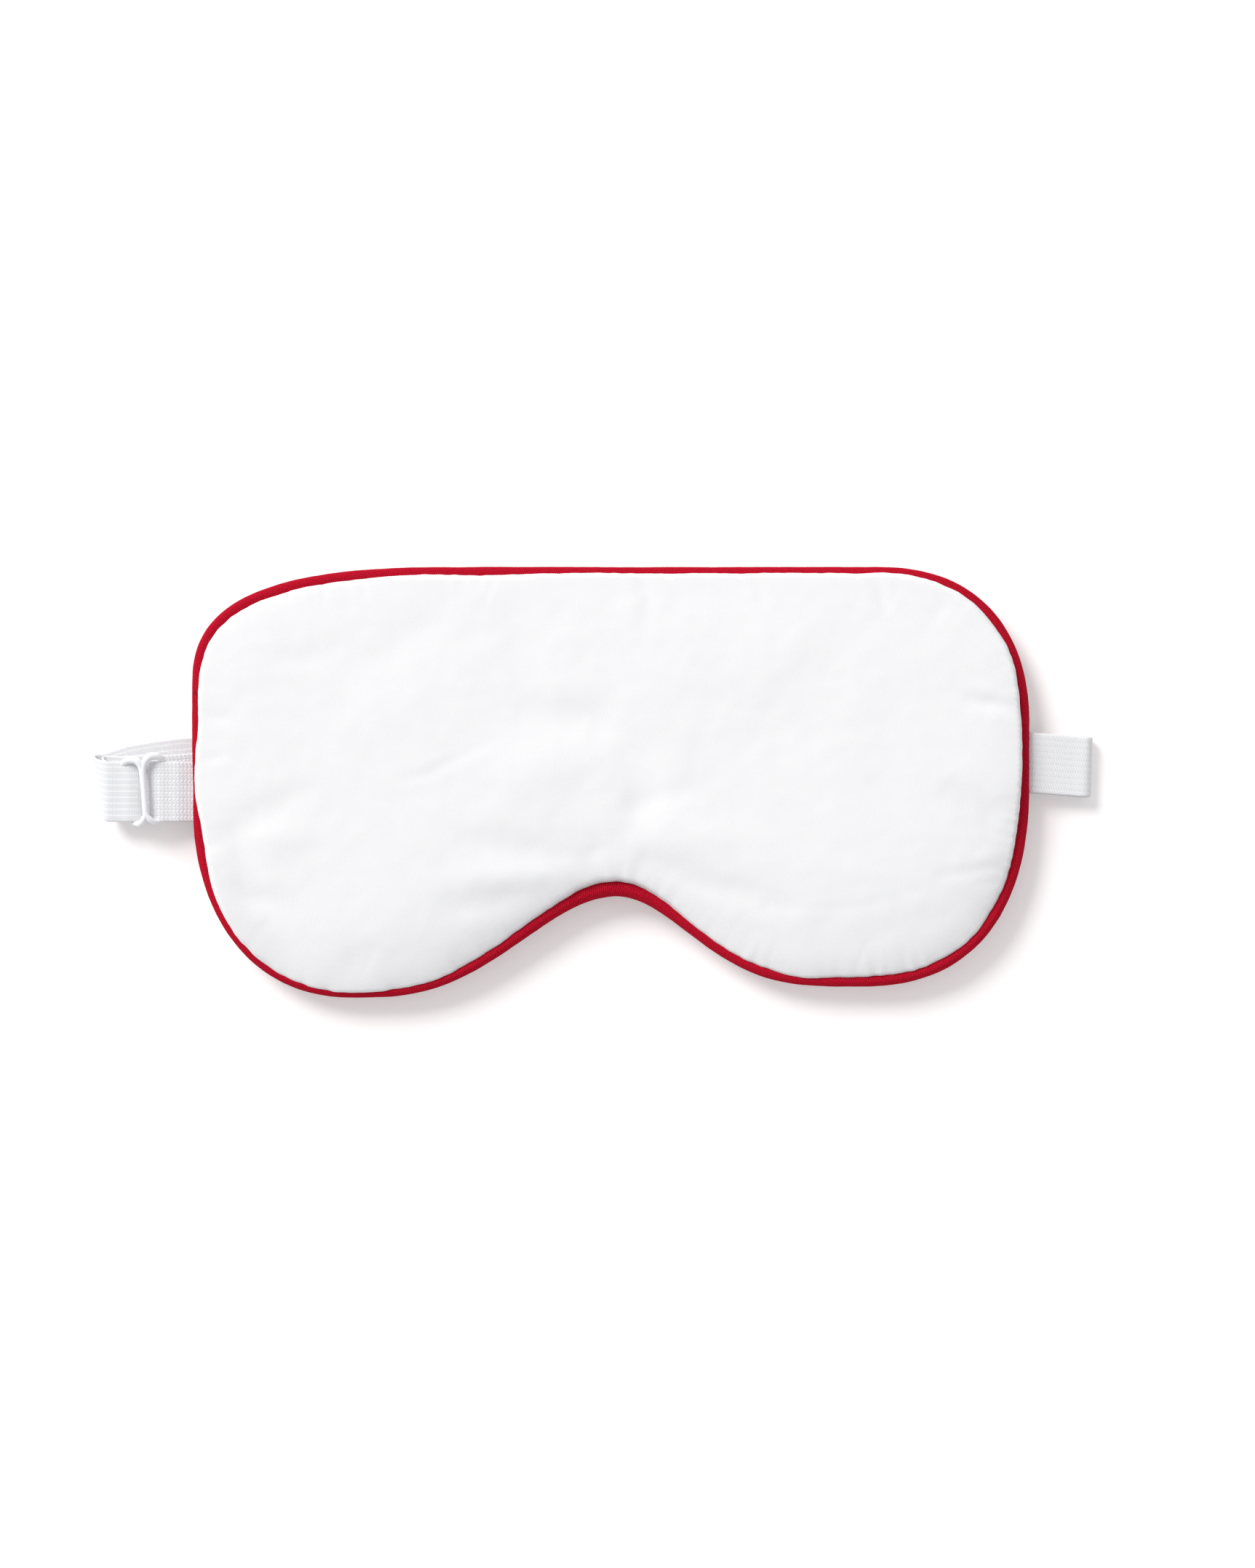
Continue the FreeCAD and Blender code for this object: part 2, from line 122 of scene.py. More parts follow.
# How much of the piping the front panel leaves in sight, by place on the edge (x, y, width)
pipingSeen = [
    (-106, 2.5, 0.5), (-106, 10, 1.6), (-105.5, 17, 1.8), (-104.8, 25, 1.7), (-103.6, 32, 2.4),
    (-100, 40, 2.6), (-92, 46.5, 2.6), (-78, 51.8, 2.5), (-63, 53.5, 2.4), (-47.5, 54, 1.9),
    (-33, 54, 2.3), (-18, 54, 1.8), (-4, 54, 1.6), (4, 54, 1.8), (26, 54, 1.8), (47, 54, 1.6),
    (62, 54, 1.8), (70, 53.5, 1.5), (84, 51, 2.0), (92, 47.5, 2.0), (99, 39.5, 2.4),
    (102.5, 32, 1.8), (104.5, 24, 2.5), (105.5, 17, 2.3), (105.5, 10, 1.9), (105.5, 2.5, 2.0),
    (105, -5, 2.4), (104.5, -12, 2.8), (102.5, -23, 2.7), (98, -34, 3.2), (92, -41, 2.7),
    (84.5, -47, 3.3), (77, -50, 2.9), (69, -51.5, 3.2), (55, -52, 2.8), (48, -50.5, 2.0),
    (40, -49, 2.7), (26, -43, 2.7), (18, -37.5, 2.7), (11, -32.5, 3.3), (4, -29, 4.3),
    (-4, -30.5, 4.4), (-11, -33, 3.4), (-25, -43, 2.9), (-33, -47.5, 3.0), (-40, -50, 2.4),
    (-48, -53, 2.3), (-55, -54, 2.0), (-70, -54, 1.6), (-84, -50, 2.0), (-92, -43, 1.7),
    (-99, -34, 1.7), (-103, -24, 2.1), (-105, -14, 2.6), (-105.8, -4.5, 1.2),
]
# Its smaller unevenness: how much and at what scale
sight = {"evening": 24, "slow": (0.14, 0.17), "quick": (0.16, 0.5), "quickShift": (7, 3, 1), "least": 0.35}


# The width of piping in sight at each point of the edge
def seenWidths():
    marks = []
    for x, y, width in pipingSeen:
        i = int(np.argmin(np.hypot(edge[:, 0] - x, edge[:, 1] - y)))
        marks.append((i, width))
    marks.sort()
    at = np.array([m[0] for m in marks] + [marks[0][0] + edgeCount])
    value = np.array([m[1] for m in marks] + [marks[0][1]])
    index = np.arange(edgeCount)
    index = np.where(index < at[0], index + edgeCount, index)
    widths = evened(np.interp(index, at, value), sight["evening"])
    for i in range(edgeCount):
        spot = Vector((edge[i, 0], edge[i, 1], 0))
        slow, quick = sight["slow"], sight["quick"]
        widths[i] += slow[0] * noise.noise(spot * slow[1])
        widths[i] += quick[0] * noise.noise(spot * quick[1] + Vector(sight["quickShift"]))
    return np.maximum(widths, sight["least"])


seen = seenWidths()

# Furrows of the front panel: the line they follow, width, depth, and how much is left at each end
furrows = [
    (((-40, -13.5), (-24, -17), (-5, -18.5)), 4.6, 0.75, 0.1, 0.7),
    (((-47, -32), (-31, -30.5), (-17, -29)), 4.0, 0.5, 0.1, 0.6),
    (((-24, 17), (-12, 16.5), (-4, 15)), 5.0, 0.5, 0.0, 0.6),
    (((-6, 16), (5, 7), (8, -4), (2, -16)), 5.5, 0.75, 0.7, 0.5),
    (((9, -20.5), (27, -26.5), (44, -31)), 3.8, 0.6, 0.9, 0.3),
    (((-92, -8), (-93, -20), (-86, -34)), 5.0, 0.6, 0.3, 0.2),
    (((40, -31.3), (63, -31), (84, -24.5)), 1.9, 0.1, 0.9, 0.2),
    (((-73, 0.5), (-87, -8), (-100, -15)), 4.0, 0.36, 0.1, 1.2),
    (((-80, -31), (-91, -29), (-99, -24)), 3.4, 0.6, 0.1, 0.9),
    (((-58, -1), (-48, 1.5), (-40, 5), (-28, 11)), 1.7, 0.16, 0.2, 0.1),
    (((-69, 21), (-55, 33), (-41, 46)), 5.0, 0.24, 0.2, 0.6),
    (((-86, 30), (-66, 33)), 3.0, 0.2, 0.4, 0.2),
    (((-24, 41), (-19, 22)), 7.0, 0.3, 0.3, 0.6),
    (((104, 18.2), (97, 19.4), (88, 21.5)), 2.1, 0.6, 1.0, 0.1),
    (((101, -14.5), (94, -8), (83, 0)), 4.6, 0.85, 1.0, 0.1),
    (((103, -20), (93, -22), (80, -24)), 1.8, 0.28, 1.0, 0.1),
    (((100, -26), (92, -25)), 1.6, 0.3, 1.0, 0.1),
    (((-105, 18), (-101, 17), (-95, 15)), 2.0, 0.35, 1.0, 0.1),
    (((-104, 5), (-96, 7)), 1.6, 0.25, 1.0, 0.1),
    (((8, 53), (9.3, 47), (9, 38)), 2.3, 0.3, 1.0, 0.2),
    (((66, 53), (68, 47), (70, 42)), 2.0, 0.32, 1.0, 0.1),
    (((88, 49), (80, 40)), 2.6, 0.22, 0.9, 0.1),
    (((-68, -52), (-60, -40)), 4.0, 0.35, 0.8, 0.1),
    (((60, 36), (44, 14)), 8.0, 0.3, 0.4, 0.4),
    (((52, 2), (30, 22)), 7.0, 0.2, 0.4, 0.4),
    (((6, -6), (24, -0.5)), 3.4, 0.35, 0.6, 0.2),
]
# The lip beside a furrow: its height as a share of the depth, its reach in furrow widths
furrowLip = {"height": 0.4, "reach": 2.1}
# Hills: middle, reach in x and y, height
hills = [
    ((-18, 3), (14, 7.5), 0.75), ((22, -14), (13, 5), 0.38), ((-26, -24), (14, 3.6), 0.35),
    ((96, -19), (5, 3), 0.3), ((-84, -14), (9, 4), 0.35), ((30, 30), (34, 16), 0.5),
    ((-48, 16), (16, 12), 0.3), ((-60, -38), (22, 10), 0.4),
]


# A point of the smooth curve through b and c, t of the way between them
def curvePoint(a, b, c, d, t):
    return 0.5 * (2 * b + (c - a) * t + (2 * a - 5 * b + 4 * c - d) * t * t + (3 * b - a - 3 * c + d) * t**3)


# A smooth line through a few points, in the plane
def smoothPath(points, steps=6):
    p = [np.array(q, float) for q in (points[0], *points, points[-1])]
    line = []
    for i in range(1, len(p) - 2):
        for k in range(steps):
            line.append(curvePoint(p[i - 1], p[i], p[i + 1], p[i + 2], k / steps))
    return np.array(line + [p[-1]])


# How far one furrow lowers the places x, y; the cloth stands up a little on both sides of it
def furrowHeight(x, y, points, width, depth, first, last):
    line = smoothPath(points)
    nearest, share = np.full(x.shape, 1e9), np.zeros(x.shape)
    pieces = len(line) - 1
    for i in range(pieces):
        (x0, y0), (x1, y1) = line[i], line[i + 1]
        dx, dy = x1 - x0, y1 - y0
        t = np.clip(((x - x0) * dx + (y - y0) * dy) / (dx * dx + dy * dy + 1e-9), 0, 1)
        away = np.hypot(x - x0 - dx * t, y - y0 - dy * t)
        closer = away < nearest
        nearest = np.where(closer, away, nearest)
        share = np.where(closer, (i + t) / pieces, share)
    full = np.sin(math.pi * np.clip(share, 0, 1))
    deep = np.maximum(full, first * (1 - share) + last * share)
    lip = furrowLip["height"] * np.exp(-((nearest / (furrowLip["reach"] * width)) ** 2))
    return -depth * deep * (np.exp(-((nearest / width) ** 2)) - lip)


# The height that furrows, hills and small seam puckers add at the places x, y
def foldHeights(x, y):
    total = np.zeros_like(x)
    for furrow in furrows:
        total += furrowHeight(x, y, *furrow)
    for (cx, cy), (reachX, reachY), height in hills:
        total += height * np.exp(-(((x - cx) / reachX) ** 2) - ((y - cy) / reachY) ** 2)
    for points, width, depth in puckers:
        total += furrowHeight(x, y, points, width, depth, 1.0, 0.0)
    return total


# Gathers at the seam: gap in points of the edge, the rest in mm
pucker = {
    "seed": 11, "gap": (12, 40), "skew": 0.5, "length": (5, 12), "offset": 2.2,
    "width": (0.9, 2.2), "depth": (0.03, 0.2),
}


# Short shallow gathers that start at the seam, a few centimetres apart
def seamPuckers():
    draw = random.Random(pucker["seed"])
    found = []
    place = 0
    while place < edgeCount:
        place += draw.randint(*pucker["gap"])
        i = place % edgeCount
        skew = draw.uniform(-pucker["skew"], pucker["skew"])
        along = np.array([-inwards[i][1], inwards[i][0]])
        reach = draw.uniform(*pucker["length"])
        start = edge[i] + inwards[i] * pucker["offset"]
        end = start + (inwards[i] + along * skew) * reach
        width = draw.uniform(*pucker["width"])
        depth = draw.uniform(*pucker["depth"])
        found.append(((tuple(start), tuple(end)), width, depth))
    return found


puckers = seamPuckers()
print("folds laid out,", len(furrows), "furrows and", len(puckers), "puckers")


# Smooth noise between about -1 and 1 at each x, y
def noiseAt(x, y, scale, shift=0.0):
    layer = 3.7 + shift
    flat = [noise.noise(Vector((a * scale + shift, b * scale, layer))) for a, b in zip(x.ravel(), y.ravel())]
    return np.array(flat).reshape(x.shape)


# A mesh object in the frame, from points in mm about the middle of the mask
def newObject(name, verts, faces, material, body, nodes):
    mesh = bpy.data.meshes.new(name)
    placed = (np.asarray(verts, float) + np.array([centreX, centreY, 0.0])) * mm
    mesh.from_pydata(placed.tolist(), [], faces)
    mesh.validate()
    mesh.update()
    mesh.shade_smooth()
    obj = bpy.data.objects.new(name, mesh)
    bpy.context.scene.collection.objects.link(obj)
    mesh.materials.append(material)
    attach(obj, body)
    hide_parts(*nodes)
    return obj


# One UV for each vertex, in mm
def setUvs(obj, uvs):
    layer = obj.data.uv_layers.new(name="flat")
    loops = np.empty(len(obj.data.loops), dtype=np.int32)
    obj.data.loops.foreach_get("vertex_index", loops)
    layer.data.foreach_set("uv", np.asarray(uvs, float)[loops].ravel())


# Which of the places x, y lie inside the closed line
def withinLine(x, y, line):
    inside = np.zeros(x.shape, bool)
    ax, ay = line[:, 0], line[:, 1]
    bx, by = np.roll(ax, -1), np.roll(ay, -1)
    for i in range(len(ax)):
        crosses = (ay[i] > y) != (by[i] > y)
        where = ax[i] + (y - ay[i]) * (bx[i] - ax[i]) / (by[i] - ay[i] + 1e-12)
        inside ^= crosses & (x < where)
    return inside


net = {"reach": (110, 58), "rowRise": 0.866, "clear": 0.62}  # rows and room to the border, in spacings


# A net of even triangles inside the line start, a point of which goes with each point of the edge.
# Each strip is a row of narrow quads just inside the line, by how far it reaches inwards.
def cushionSide(start, spacing, strips=()):
    step = np.hypot(*(np.roll(start, -1, 0) - start).T)
    mark = np.concatenate([[0], np.cumsum(step)])
    count = int(mark[-1] / spacing)
    at = np.linspace(0, mark[-1], count, endpoint=False)

    def row(reach):
        line = start + inwards * reach
        closed = np.concatenate([line, line[:1]])
        return np.stack([np.interp(at, mark, closed[:, 0]), np.interp(at, mark, closed[:, 1])], axis=1)

    rows = [row(reach) for reach in (0, *strips)]
    border = rows[-1]
    farX, farY = net["reach"]
    gx, gy = np.meshgrid(np.arange(-farX, farX, spacing), np.arange(-farY, farY, spacing * net["rowRise"]))
    gx[1::2] += spacing / 2
    inside = withinLine(gx, gy, border)
    tree = kdtree.KDTree(count)
    for i, (a, b) in enumerate(border):
        tree.insert((a, b, 0), i)
    tree.balance()
    clear = spacing * net["clear"]
    kept = [(a, b) for a, b in zip(gx[inside], gy[inside]) if tree.find((a, b, 0))[2] > clear]
    points = [Vector(p) for p in border] + [Vector(p) for p in kept]
    edges = [(i, (i + 1) % count) for i in range(count)]
    out = geometry.delaunay_2d_cdt(points, edges, [], 1, 1e-5, False)
    xy = np.array([tuple(v) for v in out[0]])
    triangles = np.array(out[2])
    middle = xy[triangles].mean(axis=1)
    triangles = triangles[withinLine(middle[:, 0], middle[:, 1], border)]
    a, b, c = (xy[triangles[:, k]] for k in range(3))
    turn = (b[:, 0] - a[:, 0]) * (c[:, 1] - a[:, 1]) - (b[:, 1] - a[:, 1]) * (c[:, 0] - a[:, 0])
    triangles[turn < 0] = triangles[turn < 0][:, ::-1]
    outer = (len(rows) - 1) * count
    faces = [tuple(int(k) + outer for k in t) for t in triangles]
    for r in range(len(rows) - 1):
        for i in range(count):
            j = (i + 1) % count
            faces.append((r * count + j, r * count + i, (r + 1) * count + i, (r + 1) * count + j))
    return np.concatenate([*rows[:-1], xy]), faces


# For each place, how far it is inside the line start, and the nearest point of the edge
def edgeDistance(x, y, start):
    tree = kdtree.KDTree(edgeCount)
    for i in range(edgeCount):
        tree.insert((start[i, 0], start[i, 1], 0), i)
    tree.balance()
    away, nearest = np.zeros(len(x)), np.zeros(len(x), int)
    for k in range(len(x)):
        i = tree.find((x[k], y[k], 0))[1]
        best = 1e9
        for p, q in (((i - 1) % edgeCount, i), (i, (i + 1) % edgeCount)):
            dx, dy = start[q] - start[p]
            t = min(max(((x[k] - start[p, 0]) * dx + (y[k] - start[p, 1]) * dy) / (dx * dx + dy * dy), 0), 1)
            best = min(best, math.hypot(x[k] - start[p, 0] - dx * t, y[k] - start[p, 1] - dy * t))
        away[k], nearest[k] = best, i
    return away, nearest


# A material with its node tree and its shader
def newMaterial(name):
    material = bpy.data.materials.new(name)
    material.use_nodes = True
    tree = material.node_tree
    return material, tree, tree.nodes["Principled BSDF"]


def link(tree, source, target):
    tree.links.new(source, target)


# A node of that kind with its inputs or settings set
def add(tree, kind, **values):
    node = tree.nodes.new(kind)
    for key, value in values.items():
        if hasattr(node, key):
            setattr(node, key, value)
        else:
            node.inputs[key.replace("_", " ")].default_value = value
    return node


# The result of a maths node on sockets or numbers
def maths(tree, operation, a, b=None, c=None):
    node = tree.nodes.new("ShaderNodeMath")
    node.operation = operation
    for i, value in enumerate((a, b, c)):
        if value is None:
            continue
        if isinstance(value, (int, float)):
            node.inputs[i].default_value = value
        else:
            tree.links.new(value, node.inputs[i])
    return node.outputs[0]


# A colour between two colours, which are tuples or sockets
def mixColours(tree, share, first, second):
    node = tree.nodes.new("ShaderNodeMix")
    node.data_type = "RGBA"
    link(tree, share, node.inputs[0])
    for socket, value in ((node.inputs[6], first), (node.inputs[7], second)):
        if isinstance(value, tuple):
            socket.default_value = (*value, 1)
        else:
            link(tree, value, socket)
    return node.outputs[2]


# The value kept between 0 and 1
def clamped(tree, value):
    node = tree.nodes.new("ShaderNodeClamp")
    link(tree, value, node.inputs[0])
    return node.outputs[0]


# A smooth wave from 0 to 1 along value
def wave(tree, value, period):
    turn = maths(tree, "MULTIPLY", value, 2 * math.pi / period)
    return maths(tree, "MULTIPLY_ADD", maths(tree, "SINE", turn), 0.5, 0.5)


# Places on a tape or strap laid flat, in mm: the socket, along it and across it
def flatPlace(tree):
    uv = add(tree, "ShaderNodeUVMap", uv_map="flat")
    split = add(tree, "ShaderNodeSeparateXYZ")
    link(tree, uv.outputs[0], split.inputs[0])
    return uv.outputs[0], split.outputs[0], split.outputs[1]


glossSockets = {
    "roughness": "Roughness", "specular": "Specular IOR Level", "sheen": "Sheen Weight",
    "sheenRoughness": "Sheen Roughness", "coat": "Coat Weight", "coatRoughness": "Coat Roughness",
}


# The finish that a look's dictionary gives: its gloss, its colour and the height that its bump raises
def finishLook(tree, shader, look, colour, height):
    link(tree, colour, shader.inputs["Base Color"])
    for key, socket in glossSockets.items():
        if key in look:
            shader.inputs[socket].default_value = look[key]
    bump = add(tree, "ShaderNodeBump", Strength=look["bump"], Distance=look["bumpDepth"])
    link(tree, height, bump.inputs["Height"])
    link(tree, bump.outputs[0], shader.inputs["Normal"])


cotton = {
    "colour": (0.911, 0.904, 0.906), "shade": (0.855, 0.85, 0.856),
    "twillPerMm": 2.05, "twillLean": 62.0, "twillShare": 0.22, "wobble": 6.0, "wobbleScale": 180.0,
    "patch": (1.6, -0.2), "patchScale": 150.0, "toneShare": 0.5, "toneScale": 34.0,
    "bump": 0.16, "bumpDepth": 0.00012,
    "roughness": 0.72, "specular": 0.25, "sheen": 0.05, "sheenRoughness": 0.4,
}


# White cotton sateen: a fine slanted twill and slight unevenness in tone
def cottonMaterial():
    material, tree, shader = newMaterial("white_cotton")
    place = add(tree, "ShaderNodeTexCoord")
    split = add(tree, "ShaderNodeSeparateXYZ")
    link(tree, place.outputs["Object"], split.inputs[0])
    lean = math.radians(cotton["twillLean"])
    slope = maths(tree, "ADD", maths(tree, "MULTIPLY", split.outputs[0], math.sin(lean)),
                  maths(tree, "MULTIPLY", split.outputs[1], math.cos(lean)))
    turn = maths(tree, "MULTIPLY", slope, 2 * math.pi * cotton["twillPerMm"] / mm)
    wobble = add(tree, "ShaderNodeTexNoise", Scale=cotton["wobbleScale"], Detail=2.0)
    phase = maths(tree, "ADD", turn, maths(tree, "MULTIPLY", wobble.outputs[0], cotton["wobble"]))
    patch = add(tree, "ShaderNodeTexNoise", Scale=cotton["patchScale"], Detail=1.0)
    strength = maths(tree, "MULTIPLY_ADD", patch.outputs[0], *cotton["patch"])
    weave = maths(tree, "MULTIPLY", maths(tree, "SINE", phase), strength)
    tone = add(tree, "ShaderNodeTexNoise", Scale=cotton["toneScale"], Detail=4.0)
    share = maths(tree, "ADD", maths(tree, "MULTIPLY", tone.outputs[0], cotton["toneShare"]),
                  maths(tree, "MULTIPLY", weave, cotton["twillShare"]))
    finishLook(tree, shader, cotton, mixColours(tree, share, cotton["colour"], cotton["shade"]), weave)
    return material


# The tape's dark colour is painted shade for the weave's grooves; its light colour is a painted highlight for
# the raised threads and specks
tape = {
    "colour": (0.50, 0.0008, 0.017), "dark": (0.29, 0.0004, 0.009), "light": (0.74, 0.045, 0.075),
    "ribsPerMm": 2.1, "ribLean": 0.35, "rowsPerMm": 1.9, "rows": (0.25, 0.34),
    "speck": 1.7, "speckScale": 2.6, "share": 0.72, "paintedHighlightShare": 0.45,
    "bump": 0.6, "bumpDepth": 0.00014, "roughness": 0.6, "specular": 0.02,
}


# Red bias tape: diagonal threads and specks in the bump, with painted shade in the weave's grooves and
# painted highlights on its raised threads and specks
def tapeMaterial():
    material, tree, shader = newMaterial("red_bias_tape")
    uv, along, around = flatPlace(tree)
    leaning = maths(tree, "MULTIPLY_ADD", around, tape["ribLean"], along)
    ribs = maths(tree, "SINE", maths(tree, "MULTIPLY", leaning, 2 * math.pi * tape["ribsPerMm"]))
    rows = maths(tree, "SINE", maths(tree, "MULTIPLY", around, 2 * math.pi * tape["rowsPerMm"]))
    weave = maths(tree, "MULTIPLY", ribs, maths(tree, "MULTIPLY_ADD", rows, *tape["rows"]))
    speck = add(tree, "ShaderNodeTexNoise", Scale=tape["speckScale"], Detail=3.0, Roughness=0.65)
    link(tree, uv, speck.inputs["Vector"])
    height = maths(tree, "ADD", weave, maths(tree, "MULTIPLY", speck.outputs[0], tape["speck"]))
    share = clamped(tree, maths(tree, "MULTIPLY", height, tape["share"]))
    # painted shade in the grooves, then painted highlights on the highest threads and specks
    base = mixColours(tree, share, tape["dark"], tape["colour"])
    bright = maths(tree, "MULTIPLY", maths(tree, "POWER", share, 3.0), tape["paintedHighlightShare"])
    finishLook(tree, shader, tape, mixColours(tree, bright, base, tape["light"]), height)
    return material


# The elastic's darker colour is painted shade for the knit's low places; tone sets how the knit's height
# mixes it in
elastic = {
    "colour": (0.90, 0.90, 0.905), "paintedGrooveShade": (0.66, 0.66, 0.69), "tone": (0.6, 0.42),
    "rowWidth": 1.52, "seamPower": 5.0, "wobble": 0.5, "wobbleScale": 0.9,
    "stroke": 0.64, "strokeLean": 0.9, "strokeHeight": 0.9, "strokeBase": 0.25, "seamDip": 0.4,
    "zigzag": 0.95, "zigzagLean": 0.42, "dashPower": 1.5, "dashRound": 0.7,
    "bead": 0.56, "beadHeight": (0.9, 0.6), "beadWidth": 0.55, "thread": 0.37, "threadHeight": (0.34, -0.06),
    "changeAt": 20.6, "changeRate": 0.8,  # where the diamonds turn into plain ribs, and how fast
    "bump": 0.5, "bumpDepth": 0.00015, "roughness": 0.6, "specular": 0.3, "sheen": 0.1,
}


# Knitted elastic: lengthways rows of slanted strokes, or diamonds that turn into plain ribs and beads, with
# painted shade in the knit's low places and its raised parts left lighter
def elasticMaterial(name, slanted):
    material, tree, shader = newMaterial(name)
    uv, length, across = flatPlace(tree)
    wobble = add(tree, "ShaderNodeTexNoise", Scale=elastic["wobbleScale"], Detail=2.0)
    link(tree, uv, wobble.inputs["Vector"])
    along = maths(tree, "MULTIPLY_ADD", wobble.outputs[0], elastic["wobble"], length)
    row = maths(tree, "DIVIDE", across, elastic["rowWidth"])
    inRow = maths(tree, "FRACT", row)
    fromMiddle = maths(tree, "ABSOLUTE", maths(tree, "MULTIPLY_ADD", inRow, 2.0, -1.0))
    seam = maths(tree, "POWER", fromMiddle, elastic["seamPower"])
    if slanted:
        leaning = maths(tree, "MULTIPLY_ADD", inRow, elastic["strokeLean"], along)
        stroke = maths(tree, "MULTIPLY", wave(tree, leaning, elastic["stroke"]), elastic["strokeHeight"])
        height = maths(tree, "ADD", stroke, maths(tree, "MULTIPLY", seam, -elastic["seamDip"]))
        height = maths(tree, "ADD", height, elastic["strokeBase"])
    else:
        lower = maths(tree, "GREATER_THAN", inRow, 0.5)  # the lower half of a row leans the other way
        inHalf = maths(tree, "FRACT", maths(tree, "MULTIPLY", row, 2.0))
        way = maths(tree, "MULTIPLY_ADD", lower, 2.0, -1.0)
        lean = maths(tree, "MULTIPLY", way, maths(tree, "MULTIPLY", inHalf, elastic["zigzagLean"]))
        shifted = maths(tree, "MULTIPLY", lower, elastic["zigzag"] / 2)
        leaning = maths(tree, "ADD", maths(tree, "ADD", along, lean), shifted)
        dash = maths(tree, "POWER", wave(tree, leaning, elastic["zigzag"]), elastic["dashPower"])
        dome = maths(tree, "SINE", maths(tree, "MULTIPLY", inHalf, math.pi))
        diamonds = maths(tree, "MULTIPLY", dash, maths(tree, "POWER", dome, elastic["dashRound"]))
        thick = maths(tree, "POWER", seam, elastic["beadWidth"])
        bead = maths(tree, "MULTIPLY_ADD", wave(tree, along, elastic["bead"]), *elastic["beadHeight"])
        threads = maths(tree, "MULTIPLY_ADD", wave(tree, along, elastic["thread"]), *elastic["threadHeight"])
        plain = maths(tree, "ADD", maths(tree, "MULTIPLY", thick, bead), threads)
        rate = elastic["changeRate"]
        changed = clamped(tree, maths(tree, "MULTIPLY_ADD", length, rate, -rate * elastic["changeAt"]))
        kept = maths(tree, "SUBTRACT", 1.0, changed)
        plainPart = maths(tree, "MULTIPLY", plain, changed)
        height = maths(tree, "ADD", maths(tree, "MULTIPLY", diamonds, kept), plainPart)
    # painted shade: the lower the knit, the darker its colour
    share = maths(tree, "MULTIPLY_ADD", height, *elastic["tone"])
    finishLook(tree, shader, elastic, mixColours(tree, share, elastic["paintedGrooveShade"], elastic["colour"]), height)
    return material


plastic = {
    "colour": (0.92, 0.925, 0.95), "shade": (0.89, 0.895, 0.925), "cloud": 0.3, "cloudScale": 500.0,
    "bump": 0.08, "bumpDepth": 0.0001, "roughness": 0.22, "coat": 0.4, "coatRoughness": 0.12,
}


# Glossy white moulded plastic with a faint cool tint
def plasticMaterial():
    material, tree, shader = newMaterial("white_plastic")
    cloud = add(tree, "ShaderNodeTexNoise", Scale=plastic["cloudScale"], Detail=2.0)
    share = maths(tree, "MULTIPLY", cloud.outputs[0], plastic["cloud"])
    colour = mixColours(tree, share, plastic["colour"], plastic["shade"])
    finishLook(tree, shader, plastic, colour, cloud.outputs[0])
    return material


fibre = {"dark": 0.8, "bump": 0.4, "bumpDepth": 0.0002, "roughness": 0.85}


# Thread, wadding or cord: soft, matt and slightly fibrous
def fibreMaterial(name, colour, scale):
    material, tree, shader = newMaterial(name)
    strands = add(tree, "ShaderNodeTexNoise", Scale=scale, Detail=5.0)
    darker = tuple(fibre["dark"] * c for c in colour)
    finishLook(tree, shader, fibre, mixColours(tree, strands.outputs[0], darker, colour), strands.outputs[0])
    return material


cottonWhite = cottonMaterial()
redTape = tapeMaterial()
topElastic = elasticMaterial("white_elastic_knitted", False)
bandElastic = elasticMaterial("white_elastic_slanted", True)
plasticWhite = plasticMaterial()
threadWhite = fibreMaterial("white_thread", (0.85, 0.85, 0.85), 900.0)
waddingWhite = fibreMaterial("wadding", (0.82, 0.82, 0.80), 220.0)
cordWhite = fibreMaterial("filler_cord", (0.80, 0.80, 0.78), 700.0)
print("materials made")

# The piping. A bulge is how much and at what scale.
# Over each strap, given by its side and y, the tube is narrower and lifted.
pipe = {
    "radius": 1.42, "height": 6.0, "facets": 20, "spare": 0.25, "evening": 8,
    "bulges": ((0.05, 0.12), (0.03, 0.4)),
    "overStrap": ((-1, -2.6, 0.2, 0.4), (1, 5.0, 0.1, 0.5)), "overStrapFrom": 100, "overStrapReach": 8,
}
tubeRadius = evened(np.maximum(pipe["radius"], (seen + pipe["spare"]) / 2), pipe["evening"])


# The bias tape round its cord, all the way round the mask
def pipingTube():
    n, k = edgeCount, pipe["facets"]
    verts, faces, uvs = [], [], []
    for i in range(n):
        spot = Vector((edge[i, 0], edge[i, 1], 0))
        bulge = 1.0
        for much, scale in pipe["bulges"]:
            bulge += much * noise.noise(spot * scale)
        middle = edge[i] + inwards[i] * tubeRadius[i]
        narrower, lift = 0.0, 0.0
        for side, y, less, more in pipe["overStrap"]:
            if edge[i, 0] * side > pipe["overStrapFrom"]:
                near = math.exp(-(((edge[i, 1] - y) / pipe["overStrapReach"]) ** 2))
                narrower += less * near
                lift += more * near
        radius = tubeRadius[i] * bulge * (1 - narrower)
        for j in range(k):
            angle = 2 * math.pi * j / k
            x, y = middle - inwards[i] * radius * math.cos(angle)
            verts.append((x, y, pipe["height"] + lift + radius * math.sin(angle)))
            uvs.append((i * edgeStep, j * 2 * math.pi * pipe["radius"] / k))
    for i in range(n):
        for j in range(k):
            a, b = i * k + j, i * k + (j + 1) % k
            c, d = ((i + 1) % n) * k + (j + 1) % k, ((i + 1) % n) * k + j
            faces.append((a, d, c, b))
    obj = newObject("piping", verts, faces, redTape, "mask", ["piping_cover"])
    setUvs(obj, uvs)


pipingTube()
print("piping made")

